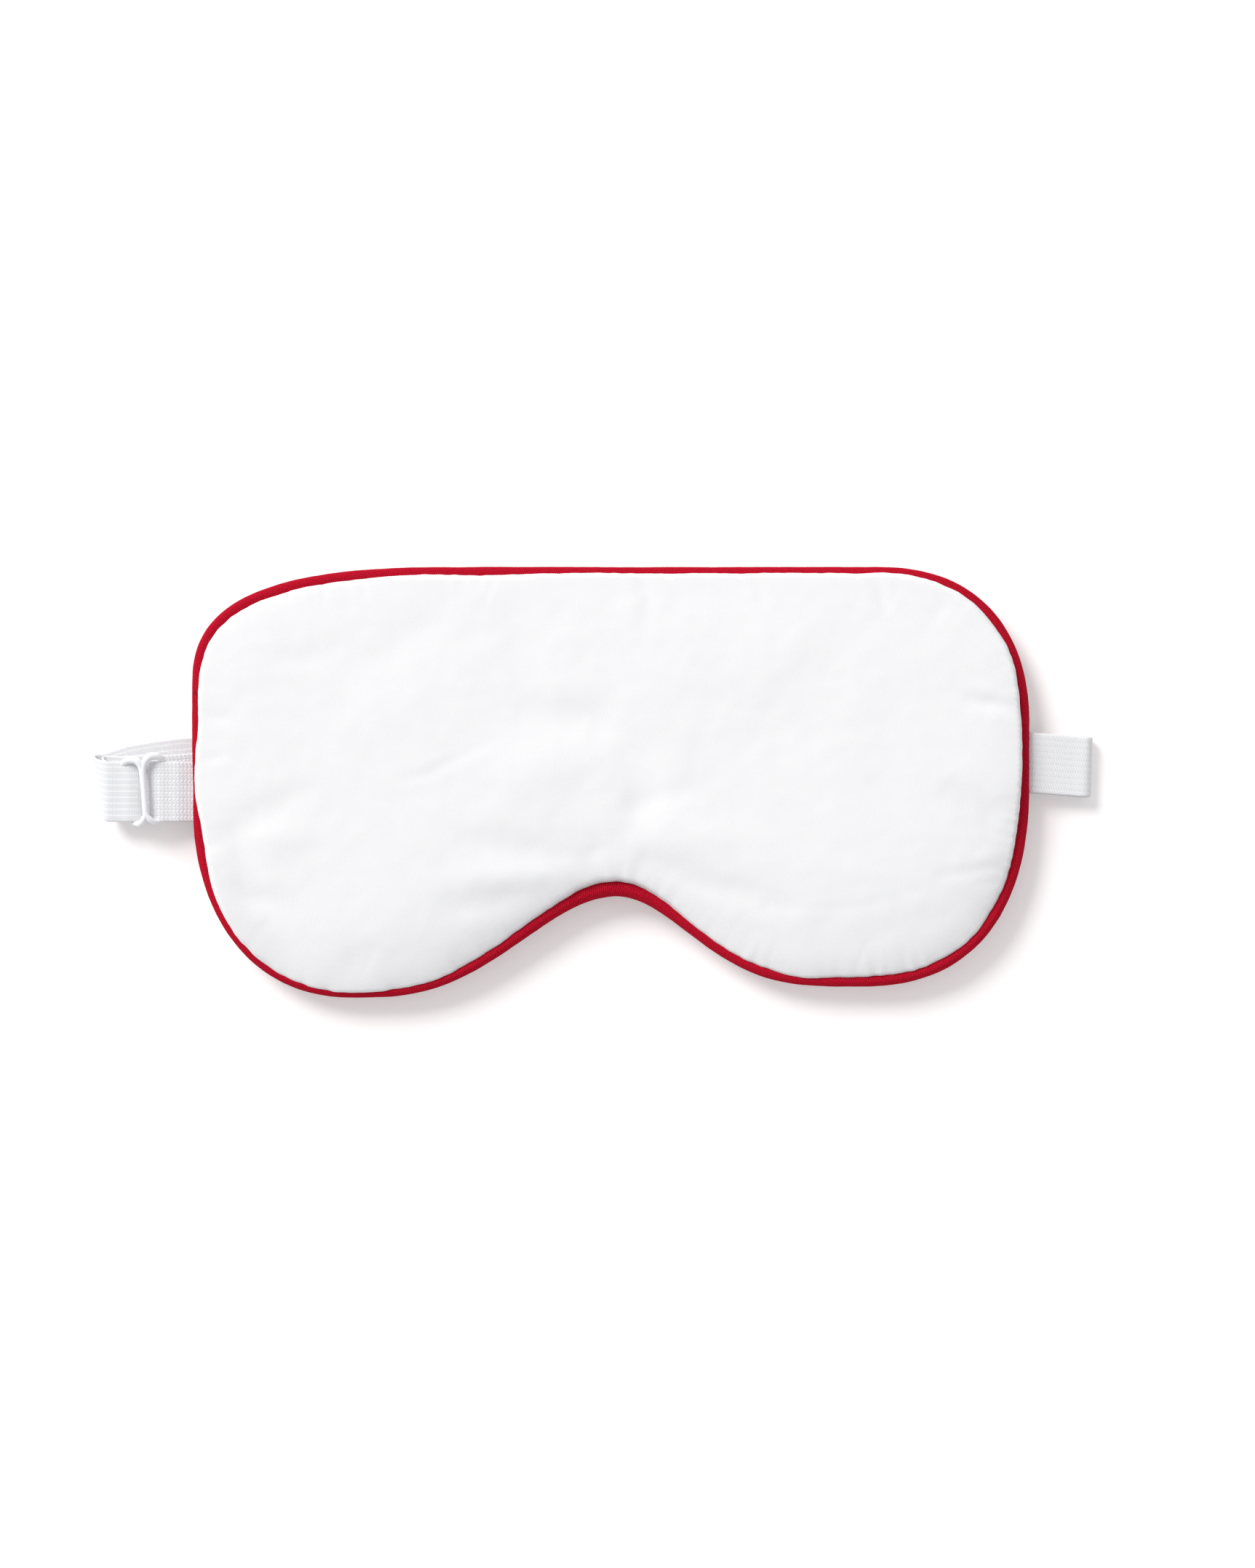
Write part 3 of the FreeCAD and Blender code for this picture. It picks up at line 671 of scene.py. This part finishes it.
# The front panel's crown
crown = {
    "rise": 4.3, "lean": (0.4, -1.5), "round": 0.55, "base": 7.1, "baseReach": 3.0,
    "plateau": 0.92, "wall": 0.14,  # how much of the height comes at once, and how near the seam
    "slowBelow": 5, "slowOver": 45, "slowFrom": -104, "slowBlend": 24,  # where it comes up slowly instead
    "softer": 0.35, "softFrom": 50, "softOver": 50,  # the right side stands up less steeply
    "foldsFull": 8, "foldsAtSeam": 0.3, "uneven": ((0.14, 0.05, 2.0), (0.09, 0.12, 9.0), (0.05, 0.25, 6.0)),
    "tuck": 0.45, "tuckDepth": 0.75, "sink": 0.25,  # the edge dips in beside the piping
    "spacing": 0.8, "strips": (0.15, 0.35, 0.6, 1.0),
    "cell": 1.5, "sweeps": 900, "gridReach": (112, 60), "gridInset": 1.6,  # the blown-up skin's grid
}


# How far a skin held at the seam would be blown up at each cell of a grid, from 0 to 1
def puffGrid():
    cell = crown["cell"]
    farX, farY = crown["gridReach"]
    xs, ys = np.arange(-farX, farX, cell), np.arange(-farY, farY, cell)
    gx, gy = np.meshgrid(xs, ys)
    inside = withinLine(gx, gy, edge + inwards * crown["gridInset"])
    skin = np.zeros(gx.shape)
    for _ in range(crown["sweeps"]):
        around = np.roll(skin, 1, 0) + np.roll(skin, -1, 0) + np.roll(skin, 1, 1) + np.roll(skin, -1, 1)
        skin = np.where(inside, (around + cell * cell) / 4, 0)
    return xs[0], ys[0], skin / skin.max()


gridX, gridY, puff = puffGrid()


# The blown-up share at the places x, y, read between the cells
def puffAt(x, y):
    u, v = (x - gridX) / crown["cell"], (y - gridY) / crown["cell"]
    i, j = u.astype(int), v.astype(int)
    a, b = u - i, v - j
    return ((1 - a) * (1 - b) * puff[j, i] + a * (1 - b) * puff[j, i + 1]
            + (1 - a) * b * puff[j + 1, i] + a * b * puff[j + 1, i + 1])


def smoothStep(t):
    t = np.clip(t, 0, 1)
    return t * t * (3 - 2 * t)


# The height of the front's surface, from how far each place is inside the seam and the seam's height there.
# It stands up from the seam almost at once, except along the lower edge, where it comes up slowly.
def topHeight(x, y, away, low):
    near = np.exp(-away / crown["baseReach"])
    base = crown["base"] + (low - crown["base"]) * near
    lowerEdge = smoothStep((crown["slowBelow"] - y) / crown["slowOver"])
    lowerEdge *= smoothStep((x - crown["slowFrom"]) / crown["slowBlend"])
    rightSide = smoothStep((x - crown["softFrom"]) / crown["softOver"])
    flat = crown["plateau"] * (1 - lowerEdge) * (1 - crown["softer"] * rightSide)
    blown = np.maximum(puffAt(x, y), 1e-6) ** crown["round"]
    blown = flat * (1 - np.exp(-away / crown["wall"])) + (1 - flat) * blown
    lean = crown["lean"][0] * x / outline["halfWidth"] + crown["lean"][1] * y / outline["browHeight"]
    inner = np.clip(away / crown["foldsFull"], 0, 1)
    kept = crown["foldsAtSeam"]
    z = base + (crown["rise"] + lean) * blown + foldHeights(x, y) * (kept + (1 - kept) * inner)
    z += inner * sum(much * noiseAt(x, y, scale, shift) for much, scale, shift in crown["uneven"])
    return z


def frontPanel():
    tuck = crown["tuck"]
    start = edge + inwards * (seen - tuck)[:, None]
    xy, faces = cushionSide(start, crown["spacing"], crown["strips"])
    x, y = xy[:, 0], xy[:, 1]
    away, nearest = edgeDistance(x, y, start)
    r = tubeRadius
    # how high the seam lies on the side of the piping
    onTube = np.sqrt(np.maximum(r * r - (r - np.clip(seen, 0, 2 * r)) ** 2, 0))
    z = topHeight(x, y, np.maximum(away - tuck, 0), (pipe["height"] + onTube - crown["sink"])[nearest])
    z -= crown["tuckDepth"] * np.clip(1 - away / tuck, 0, 1)
    verts = np.stack([x, y, z], 1)
    obj = newObject("front_cushion", verts, faces, cottonWhite, "mask", ["front_panel"])
    print("front panel made,", len(z), "points, up to", round(float(z.max()), 2), "mm")


frontPanel()

# The strap, its course under the mask as places (x, y), and its knit
strap = {
    "width": 15.2, "thickness": 0.75, "gap": 0.3, "tab": 8.0,  # tab: how far it goes in past the seam
    "leftY": -2.4, "leftReach": 24.4, "leftInner": 21.6,  # how far its two folds reach out
    "exit": 0.2, "rise": 4.2, "leftExitZ": 4.9, "tipSpare": 0.5, "leftSlew": 1.0, "backTo": -89.8,
    "rightY": 5.0, "rightReach": 16.2, "rightSlant": -4.6, "rightExitZ": 4.95, "exitZ": 4.125,
    "rightSlew": 3.2, "loopTail": 9.0,
    "course": ((-127.5, -0.3), (-122.0, 1.6), (-114.0, 3.0), (-106.0, 3.8), (-50.0, 6.0), (42.0, 3.4),
               (105.6, 4.75), (121.5, 3.5)),
}
knit = {
    "ribs": 10, "columnsPerRib": 6, "ribHeight": 0.05, "ribRound": 0.7, "thinner": 0.1,
    "selvedge": 0.95, "selvedgeFall": 0.75,
}
# The sewn end bows aside on its way to its fold
sewn = {"start": -92.0, "asideFrom": -93.0, "bow": 3.3, "aside": 0.6, "tail": 3.1, "narrower": 0.3}
half = strap["thickness"] / 2
underZ = half
secondZ = underZ + strap["thickness"] + strap["gap"]
leftSeam = -outline["halfWidth"]
rightSeam = outline["halfWidth"]
# The slider, the radii along each eye and its middle bar, and how the elastic dips and humps at it
slider = {
    "x": leftSeam - 12.0, "spacing": 4.9, "slant": 4.5, "bar": 1.75, "offY": 0.7, "endWrap": 1.125,
    "rightBarZ": 0.35, "middleBar": (0.8, 0.9, 0.80, 0.82, 0.7),
    "dip": 0.8, "dipReach": 1.25, "hump": 0.28, "humpAt": 4.0, "humpReach": 1.7, "dipEnds": 8, "topRun": 40,
    "thick": (0.70, 0.78, 0.95, 0.98, 0.92, 0.80, 0.66, 0.62, 0.62, 0.66, 0.72, 0.78, 0.80, 0.72, 0.70),
}
ring = {"x": 45.0, "width": 6.0, "wire": 1.3, "wrap": 1.075, "spare": 0.4}
endBarX = slider["x"] - slider["spacing"]
endBarZ = secondZ + half + strap["gap"] + half + slider["endWrap"]
runZ = endBarZ + half + strap["gap"] + slider["endWrap"] + half
legZ = endBarZ + slider["endWrap"]
ringZ = underZ + ring["wrap"]


# Y and heading of the strap that lies under the mask
def courseAt(x):
    points = strap["course"]
    slopes = []
    for i in range(len(points)):
        a, b = points[max(i - 1, 0)], points[min(i + 1, len(points) - 1)]
        slopes.append((b[1] - a[1]) / (b[0] - a[0]))
    x = min(max(x, points[0][0]), points[-1][0])
    i = max(k for k in range(len(points) - 1) if points[k][0] <= x)
    (x0, y0), (x1, y1) = points[i], points[i + 1]
    span = x1 - x0
    t = (x - x0) / span
    y = y0 * (1 + 2 * t) * (1 - t) ** 2 + slopes[i] * span * t * (1 - t) ** 2
    y += y1 * t * t * (3 - 2 * t) + slopes[i + 1] * span * t * t * (t - 1)
    rate = (y1 - y0) / span * 6 * t * (1 - t)
    rate += slopes[i] * (1 - t) * (1 - 3 * t) + slopes[i + 1] * t * (3 * t - 2)
    return y, math.degrees(math.atan(rate))


# A cross-section of strap: its middle, the way across it and the way up from its face
def station(x, z, y, heading, pitch):
    turn = math.radians(heading)
    wide = Vector((-math.sin(turn), math.cos(turn), 0))
    forward = Vector((wide.y, -wide.x, 0))
    angle = math.radians(pitch)
    return Vector((x, y, z)), wide, Vector((0, 0, math.cos(angle))) - forward * math.sin(angle)


def levelRun(start, end, z, pitch, steps):
    places = [start + (end - start) * i / steps for i in range(steps + 1)]
    return [station(x, z, *courseAt(x), pitch) for x in places]


# Stations round a fold; start and sweep are angles in the XZ plane, a lie is (y, heading)
def turnRound(centreAt, centreZ, radius, start, sweep, startLie, endLie, facing=-90, slew=0.0, steps=14):
    stations = []
    for i in range(steps + 1):
        t = i / steps
        angle = start + sweep * t
        ease = t * t * (3 - 2 * t)
        y = startLie[0] + (endLie[0] - startLie[0]) * ease
        heading = startLie[1] + (endLie[1] - startLie[1]) * ease + slew * math.sin(math.pi * t)
        x = centreAt + radius * math.cos(math.radians(angle))
        z = centreZ + radius * math.sin(math.radians(angle))
        stations.append(station(x, z, y, heading, angle + facing))
    return stations


# A strip of knitted elastic with rounded selvedges and shallow ribs along it.
# shape gives its half width and how far it is lifted, by the distance from its first station.
def ribbon(name, stations, material, body, nodes, spacing=0.5, shape=None):
    middles, wides, ups = (np.array([list(part) for part in parts]) for parts in zip(*stations))
    step = np.linalg.norm(np.diff(middles, axis=0), axis=1)
    mark = np.concatenate([[0], np.cumsum(step)])
    count = max(int(mark[-1] / spacing), 8)
    at = np.linspace(0, mark[-1], count)

    def along(values):
        return np.stack([np.interp(at, mark, values[:, k]) for k in range(3)], axis=1)

    middles, wides, ups = along(middles), along(wides), along(ups)
    wides /= np.linalg.norm(wides, axis=1)[:, None]
    ups /= np.linalg.norm(ups, axis=1)[:, None]
    columns = knit["ribs"] * knit["columnsPerRib"]
    across = np.linspace(-1, 1, columns + 1)
    verts, uvs, faces = [], [], []
    for i in range(count):
        width, lift = shape(at[i]) if shape else (strap["width"] / 2, 0.0)
        for side in (1, -1):
            for a in across[::side]:
                outer = max(0, (abs(a) - knit["selvedge"]) / (1 - knit["selvedge"]))
                rib = abs(math.sin(math.pi * (a + 1) / 2 * knit["ribs"])) ** knit["ribRound"]
                height = half - knit["thinner"] + knit["ribHeight"] * rib
                height *= side * (1 - knit["selvedgeFall"] * outer**2)
                verts.append(middles[i] + wides[i] * a * width + ups[i] * (height + lift))
                uvs.append((at[i], (a + 1) * strap["width"] / 2))
    around = 2 * (columns + 1)
    for i in range(count - 1):
        for j in range(around):
            a, b = i * around + j, i * around + (j + 1) % around
            faces.append((a, b, b + around, a + around))
    for first in (0, (count - 1) * around):
        for j in range(columns):
            a, b = first + j, first + around - 1 - j
            cap = (a, a + 1, b - 1, b)
            faces.append(cap if first else cap[::-1])
    obj = newObject(name, verts, faces, material, body, nodes)
    setUvs(obj, uvs)


# Steps of a run that changes height smoothly: the x, z and tilt of each
def easedRun(fromX, toX, fromZ, toZ, steps):
    for i in range(steps + 1):
        t = i / steps
        rate = (toZ - fromZ) / abs(toX - fromX) * 6 * t * (1 - t)
        z = fromZ + (toZ - fromZ) * t * t * (3 - 2 * t)
        yield fromX + (toX - fromX) * t, z, -math.degrees(math.atan(rate))


# The long elastic's half width and lift: it dips under the slider's middle bar and humps over the side bars
def overSlider(place):
    away = leftSeam + strap["tab"] - place - slider["x"]
    if place > slider["topRun"] or abs(away) > slider["dipEnds"]:
        return strap["width"] / 2, 0.0
    dip = slider["dip"] * math.exp(-((away / slider["dipReach"]) ** 2))
    hump = slider["hump"] * math.exp(-(((abs(away) - slider["humpAt"]) / slider["humpReach"]) ** 2))
    return strap["width"] / 2, hump - dip


# The long elastic: left seam, slider, left tip, under the mask to the ring and back
def adjusterStrap():
    top = (strap["leftY"], 0.0)
    stations = [station(leftSeam + strap["tab"], strap["leftExitZ"], *top, 0)]
    start = leftSeam - strap["exit"]
    for x, z, tilt in easedRun(start, start - strap["rise"], strap["leftExitZ"], runZ, 8):
        stations.append(station(x, z, *top, tilt))
    radius = (runZ - underZ) / 2
    tip = leftSeam - strap["leftReach"] + strap["tipSpare"] + half + radius
    stations += turnRound(tip, underZ + radius, radius, 90, 180, top, courseAt(tip), slew=strap["leftSlew"])
    nearBar = ring["x"] - ring["width"] / 2
    stations += levelRun(tip, nearBar, underZ, 180, 30)[1:]
    lie = courseAt(nearBar)
    stations += turnRound(nearBar, ringZ, ring["wrap"], -90, 180, lie, lie)[1:]
    stations += levelRun(nearBar - ring["width"], strap["backTo"], secondZ, 360, 24)
    ribbon("long_elastic", stations, topElastic, "mask", ["adjuster_strap"], 0.35, overSlider)


# The end of the long elastic that is sewn round the slider's far bar
def sewnEnd():
    radius = (legZ - secondZ) / 2
    fold = leftSeam - strap["leftInner"] + half + radius
    barLie = (strap["leftY"], slider["slant"])
    stations = []
    for x in np.linspace(sewn["start"], fold, 14):
        y, heading = courseAt(x)
        past = sewn["asideFrom"] - x
        aside = sewn["bow"] * min(max(past / 10, 0), 1) * min(max((x - fold) / 16, 0), 1) ** 0.5
        aside += sewn["aside"] * min(max(past / 20, 0), 1)
        stations.append(station(x, secondZ, y - aside, heading, 360))
    innerLie = (courseAt(fold)[0] - sewn["aside"], courseAt(fold)[1])
    stations += turnRound(fold, secondZ + radius, radius, 270, -180, innerLie, barLie, 90)[1:]
    stations += turnRound(endBarX, endBarZ, slider["endWrap"], 90, -190, barLie, barLie, 90)
    stations.append(station(endBarX - sewn["tail"], endBarZ - slider["endWrap"] * 0.6, *barLie, 170))
    narrow = strap["width"] / 2 - sewn["narrower"]
    ribbon("sewn_end", stations, topElastic, "slider", ["strap_end"], 0.5, lambda place: (narrow, 0.0))


# The short elastic: right seam, right tip, back under the mask to the ring
def rightBand():
    rate = math.tan(math.radians(strap["rightSlant"]))
    radius = (strap["exitZ"] - underZ) / 2
    tip = rightSeam + strap["rightReach"] - half - radius

    def lieAt(x):
        return strap["rightY"] + rate * (x - rightSeam), strap["rightSlant"]

    tab = rightSeam - strap["tab"]
    stations = [station(tab, strap["rightExitZ"], *lieAt(tab), 0)]
    for x, z, tilt in easedRun(rightSeam, tip, strap["rightExitZ"], strap["exitZ"], 6):
        stations.append(station(x, z, *lieAt(x), tilt))
    centreZ = strap["exitZ"] - radius
    stations += turnRound(tip, centreZ, radius, 90, -180, lieAt(tip), courseAt(tip), slew=strap["rightSlew"])
    farBar = ring["x"] + ring["width"] / 2
    stations += levelRun(tip, farBar, underZ, 180, 16)[1:]
    lie = courseAt(farBar)
    stations += turnRound(farBar, ringZ, ring["wrap"], -90, -180, lie, lie)[1:]
    stations += levelRun(farBar + ring["width"] / 2, farBar + strap["loopTail"], secondZ, 360, 4)
    ribbon("right_band", stations, bandElastic, "mask", ["right_elastic"])


adjusterStrap()
sewnEnd()
rightBand()
print("strap made")


# Verts and faces of a round rod along a smooth line through points
def rod(points, radii, closed, facets=14):
    line, size = smoothLine(points, radii, closed)
    n = len(line)
    verts, faces = [], []
    side = Vector((0, 0, 1))
    for i in range(n):
        before = line[i - 1] if closed or i else line[i]
        after = line[(i + 1) % n] if closed or i < n - 1 else line[i]
        tangent = (after - before).normalized()
        side = (side - tangent * side.dot(tangent)).normalized()
        other = tangent.cross(side)
        for j in range(facets):
            angle = 2 * math.pi * j / facets
            verts.append(line[i] + (side * math.cos(angle) + other * math.sin(angle)) * size[i])
    for i in range(n if closed else n - 1):
        for j in range(facets):
            k, m = (i + 1) % n, (j + 1) % facets
            faces.append((i * facets + j, i * facets + m, k * facets + m, k * facets + j))
    if not closed:
        faces.append(tuple(range(facets))[::-1])
        faces.append(tuple((n - 1) * facets + j for j in range(facets)))
    return verts, faces


# A smooth line through points, with radii to match
def smoothLine(points, radii, closed, steps=6):
    points = [Vector(p) for p in points]
    n = len(points)
    line, size = [], []
    for i in range(n if closed else n - 1):
        near = [i + k for k in (-1, 0, 1, 2)]
        near = [k % n for k in near] if closed else [min(max(k, 0), n - 1) for k in near]
        for k in range(steps):
            t = k / steps
            line.append(curvePoint(*(points[m] for m in near), t))
            size.append(radii[i] + (radii[near[2]] - radii[i]) * t)
    if not closed:
        line.append(points[-1])
        size.append(radii[-1])
    return line, size


def joined(parts):
    verts, faces = [], []
    for v, f in parts:
        base = len(verts)
        verts += v
        faces += [tuple(k + base for k in face) for face in f]
    return verts, faces


# Points turned by an angle and put in place
def placedAt(verts, x, y, z, degrees):
    c, s = math.cos(math.radians(degrees)), math.sin(math.radians(degrees))
    return [(x + v.x * c - v.y * s, y + v.x * s + v.y * c, z + v.z) for v in verts]


# Two eyes that share a raised middle bar; their side bars lie under the elastic
def sliderPiece():
    top = half + strap["gap"] + slider["bar"] / 2
    left = endBarZ - runZ - top
    right = slider["rightBarZ"] - half - 2 * strap["gap"] - slider["bar"] / 2 - top
    # x, y and z about the middle bar, before the slider is slanted
    eyes = (
        [(-0.05, 2.2, 0), (-0.2, 5.0, 0), (-0.85, 6.75, 0), (-2.1, 7.5, -0.2), (-3.7, 7.45, -0.7),
         (-4.9, 6.7, -1.7), (-5.0, 5.2, left), (-4.9, 0, left), (-4.75, -5.6, left), (-4.1, -7.6, left * 0.8),
         (-2.9, -8.5, -1.9), (-1.7, -8.55, -0.8), (-0.7, -7.7, -0.2), (-0.1, -6.2, 0), (0, -2.0, 0)],
        [(0.05, 2.2, 0), (0.25, 5.2, 0), (0.95, 7.0, 0), (2.2, 8.0, -0.2), (3.8, 7.95, -0.7),
         (5.0, 7.1, -1.6), (5.05, 5.4, right), (4.9, 0, right), (4.8, -5.6, right), (4.3, -7.5, right * 0.9),
         (3.2, -8.35, -1.6), (1.8, -8.35, -0.7), (0.75, -7.6, -0.2), (0.1, -6.2, 0), (0, -2.0, 0)],
    )
    bar = [(0, 5.9, -0.1), (0, 4.4, 0), (0, 0, 0.02), (0, -5, 0), (0, -6.7, -0.1)]
    pieces = [rod(eye, slider["thick"], True) for eye in eyes] + [rod(bar, slider["middleBar"], False)]
    verts, faces = joined(pieces)
    placed = placedAt(verts, slider["x"], strap["leftY"] + slider["offY"], runZ + top, slider["slant"])
    newObject("strap_slider", placed, faces, plasticWhite, "slider", ["slider"])


# The oblong ring under the mask
def ringPiece():
    r = ring["wire"] / 2
    high, wide = strap["width"] / 2 + ring["spare"] + r, ring["width"] / 2
    # rounded corners: half of the ring, then the same turned round
    upper = [(-wide, 0), (-wide, high - 2), (-wide + 1, high - 0.4), (0, high), (wide - 1, high - 0.4),
             (wide, high - 2)]
    line = [(-wide, -high + 2, 0)] + [(x, y, 0) for x, y in upper] + [(-x, -y, 0) for x, y in upper[:-1]]
    verts, faces = rod(line, [r] * len(line), True)
    y, heading = courseAt(ring["x"])
    placed = placedAt(verts, ring["x"], y, ringZ, heading)
    newObject("strap_loop_ring", placed, faces, plasticWhite, "mask", ["strap_ring"])


sliderPiece()
ringPiece()
print("slider and ring made")

# The face side, with its trough over the folded strap, and the filling between the panels
trough = {"width": 9.9, "height": 2.35, "soft": 2.6, "atRing": 1.0, "ringOff": 3, "ringReach": 13}
faceSide = {"inset": 2.75, "spacing": 2.0, "run": 15.0, "seamZ": 5.2, "power": 2.2, "troughStart": 2.2}
filling = {
    "inset": 3.6, "pastPiping": 2.2, "spacing": 2.6, "run": 14.0, "seamZ": 5.6, "fall": 4.6,
    "overTrough": 0.9, "seamAway": 0.6, "rimZ": 6.9, "under": 1.0,
}


# How far the face side has sunk from its seam, from 0 at its edge to 1 where it lies flat
def roundedShare(share):
    power = faceSide["power"]
    return (1 - (1 - np.clip(share, 0, 1)) ** power) ** (1 / power)


# How high the face side stands off the table over the folded strap
def troughHeight(x, y):
    courseY = np.array([courseAt(a)[0] for a in x])
    away = np.abs(y - courseY)
    side = smoothStep((trough["width"] + trough["soft"] - away) / trough["soft"])
    overRing = np.exp(-(((x - ring["x"] - trough["ringOff"]) / trough["ringReach"]) ** 2))
    return (trough["height"] + trough["atRing"] * overRing) * side


# The side that touches the face, flat where it rests and hollowed over the strap
def backPanel():
    start = edge + inwards * faceSide["inset"]
    xy, faces = cushionSide(start, faceSide["spacing"])
    x, y = xy[:, 0], xy[:, 1]
    share = edgeDistance(x, y, start)[0] / faceSide["run"]
    z = faceSide["seamZ"] * (1 - roundedShare(share))
    z += 0.10 * (1 + noiseAt(x, y, 0.07, 4.0)) * np.clip((share - 0.3) * 2, 0, 1)  # broad unevenness
    z += 0.3 * noiseAt(x, y, 0.22, 8.0) * np.exp(-(((share - 0.3) / 0.2) ** 2))  # gathers near the seam
    z = np.maximum(z, troughHeight(x, y) * np.clip(share * faceSide["troughStart"], 0, 1))
    z = np.maximum(z, 0.0)
    turned = [face[::-1] for face in faces]
    verts = np.stack([x, y, z], 1)
    obj = newObject("face_cushion", verts, turned, cottonWhite, "mask", ["back_panel"])


# The filling, a little inside both panels
def wadding():
    start = edge + inwards * np.maximum(filling["inset"], seen + filling["pastPiping"])[:, None]
    xy, faces = cushionSide(start, filling["spacing"])
    x, y = xy[:, 0], xy[:, 1]
    away = edgeDistance(x, y, start)[0]
    share = away / filling["run"]
    low = filling["seamZ"] - filling["fall"] * roundedShare(share)
    rising = np.clip(share * faceSide["troughStart"], 0, 1)
    low = np.maximum(low, (troughHeight(x, y) + filling["overTrough"]) * rising)
    high = topHeight(x, y, away + filling["seamAway"], filling["rimZ"]) - filling["under"]
    n = len(x)
    rim = int(np.sum(share < 1e-6))
    verts = np.concatenate([np.stack([x, y, high], 1), np.stack([x, y, low], 1)])
    allFaces = faces + [tuple(k + n for k in face[::-1]) for face in faces]
    for i in range(rim):
        j = (i + 1) % rim
        allFaces.append((i, j, j + n, i + n))
    obj = newObject("filling", verts, allFaces, waddingWhite, "mask", ["padding"])


backPanel()
wadding()
print("face side and wadding made")

# The camera looks straight down; frameHeight is what it takes in, top to bottom, at the height planeZ
view = {"frameHeight": 395.6, "planeZ": 6.0, "lens": 90.0, "offX": 4.22, "offY": -0.46}
light = {
    "strength": 2.5, "spread": 28.0, "towards": (0.68, -0.73, -0.68),
    "worldColour": (0.97, 0.98, 1.0), "worldStrength": 0.60,
}
floor = {
    "colour": (0.97, 0.935, 0.93), "shade": (0.96, 0.925, 0.92), "grain": 0.2, "grainScale": 30.0,
    "glow": 0.17, "glowColour": (1.0, 0.975, 0.965), "reach": 3.0,
}


def addCamera():
    tall = view["frameHeight"] * mm
    camera = bpy.data.cameras.new("camera")
    camera.lens = view["lens"]
    camera.sensor_fit = "AUTO"
    camera.clip_end = 10
    distance = tall * camera.lens / camera.sensor_width + view["planeZ"] * mm
    obj = bpy.data.objects.new("camera", camera)
    obj.location = ((centreX + view["offX"]) * mm, (centreY + view["offY"]) * mm, distance)
    bpy.context.scene.collection.objects.link(obj)
    bpy.context.scene.camera = obj


# One broad soft lamp from the upper left, and the world's even light
def addLight():
    lamp = bpy.data.lights.new("key", "SUN")
    lamp.energy = light["strength"]
    lamp.angle = math.radians(light["spread"])
    obj = bpy.data.objects.new("key", lamp)
    obj.rotation_euler = Vector(light["towards"]).to_track_quat("-Z", "Y").to_euler()
    bpy.context.scene.collection.objects.link(obj)
    world = bpy.data.worlds.new("world")
    world.use_nodes = True
    background = world.node_tree.nodes["Background"]
    background.inputs[0].default_value = (*light["worldColour"], 1)
    background.inputs[1].default_value = light["worldStrength"]
    bpy.context.scene.world = world
    bpy.context.scene.view_settings.view_transform = "Standard"


def addFloor():
    mesh = bpy.data.meshes.new("floor")
    far = floor["reach"]
    mesh.from_pydata([(-far, -far, 0), (far, -far, 0), (far, far, 0), (-far, far, 0)], [], [(0, 1, 2, 3)])
    material, tree, shader = newMaterial("pale_floor")
    grain = add(tree, "ShaderNodeTexNoise", Scale=floor["grainScale"])
    share = maths(tree, "MULTIPLY", grain.outputs[0], floor["grain"])
    link(tree, mixColours(tree, share, floor["colour"], floor["shade"]), shader.inputs["Base Color"])
    path = add(tree, "ShaderNodeLightPath")
    seenRay = maths(tree, "MAXIMUM", path.outputs["Is Camera Ray"], path.outputs["Is Glossy Ray"])
    link(tree, maths(tree, "MULTIPLY", seenRay, floor["glow"]), shader.inputs["Emission Strength"])
    shader.inputs["Emission Color"].default_value = (*floor["glowColour"], 1)
    shader.inputs["Roughness"].default_value = 0.9
    shader.inputs["Specular IOR Level"].default_value = 0.1
    mesh.materials.append(material)
    obj = bpy.data.objects.new("floor", mesh)
    bpy.context.scene.collection.objects.link(obj)


addCamera()
addFloor()
addLight()
print("camera, floor and light set")

hiddenTrim = {
    "piping_cord": cordWhite, "seam_thread": threadWhite,
    "end_stitches": threadWhite, "ring_stitches": threadWhite,
}
for name, material in hiddenTrim.items():
    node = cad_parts[name]
    node.data.materials.clear()
    node.data.materials.append(material)
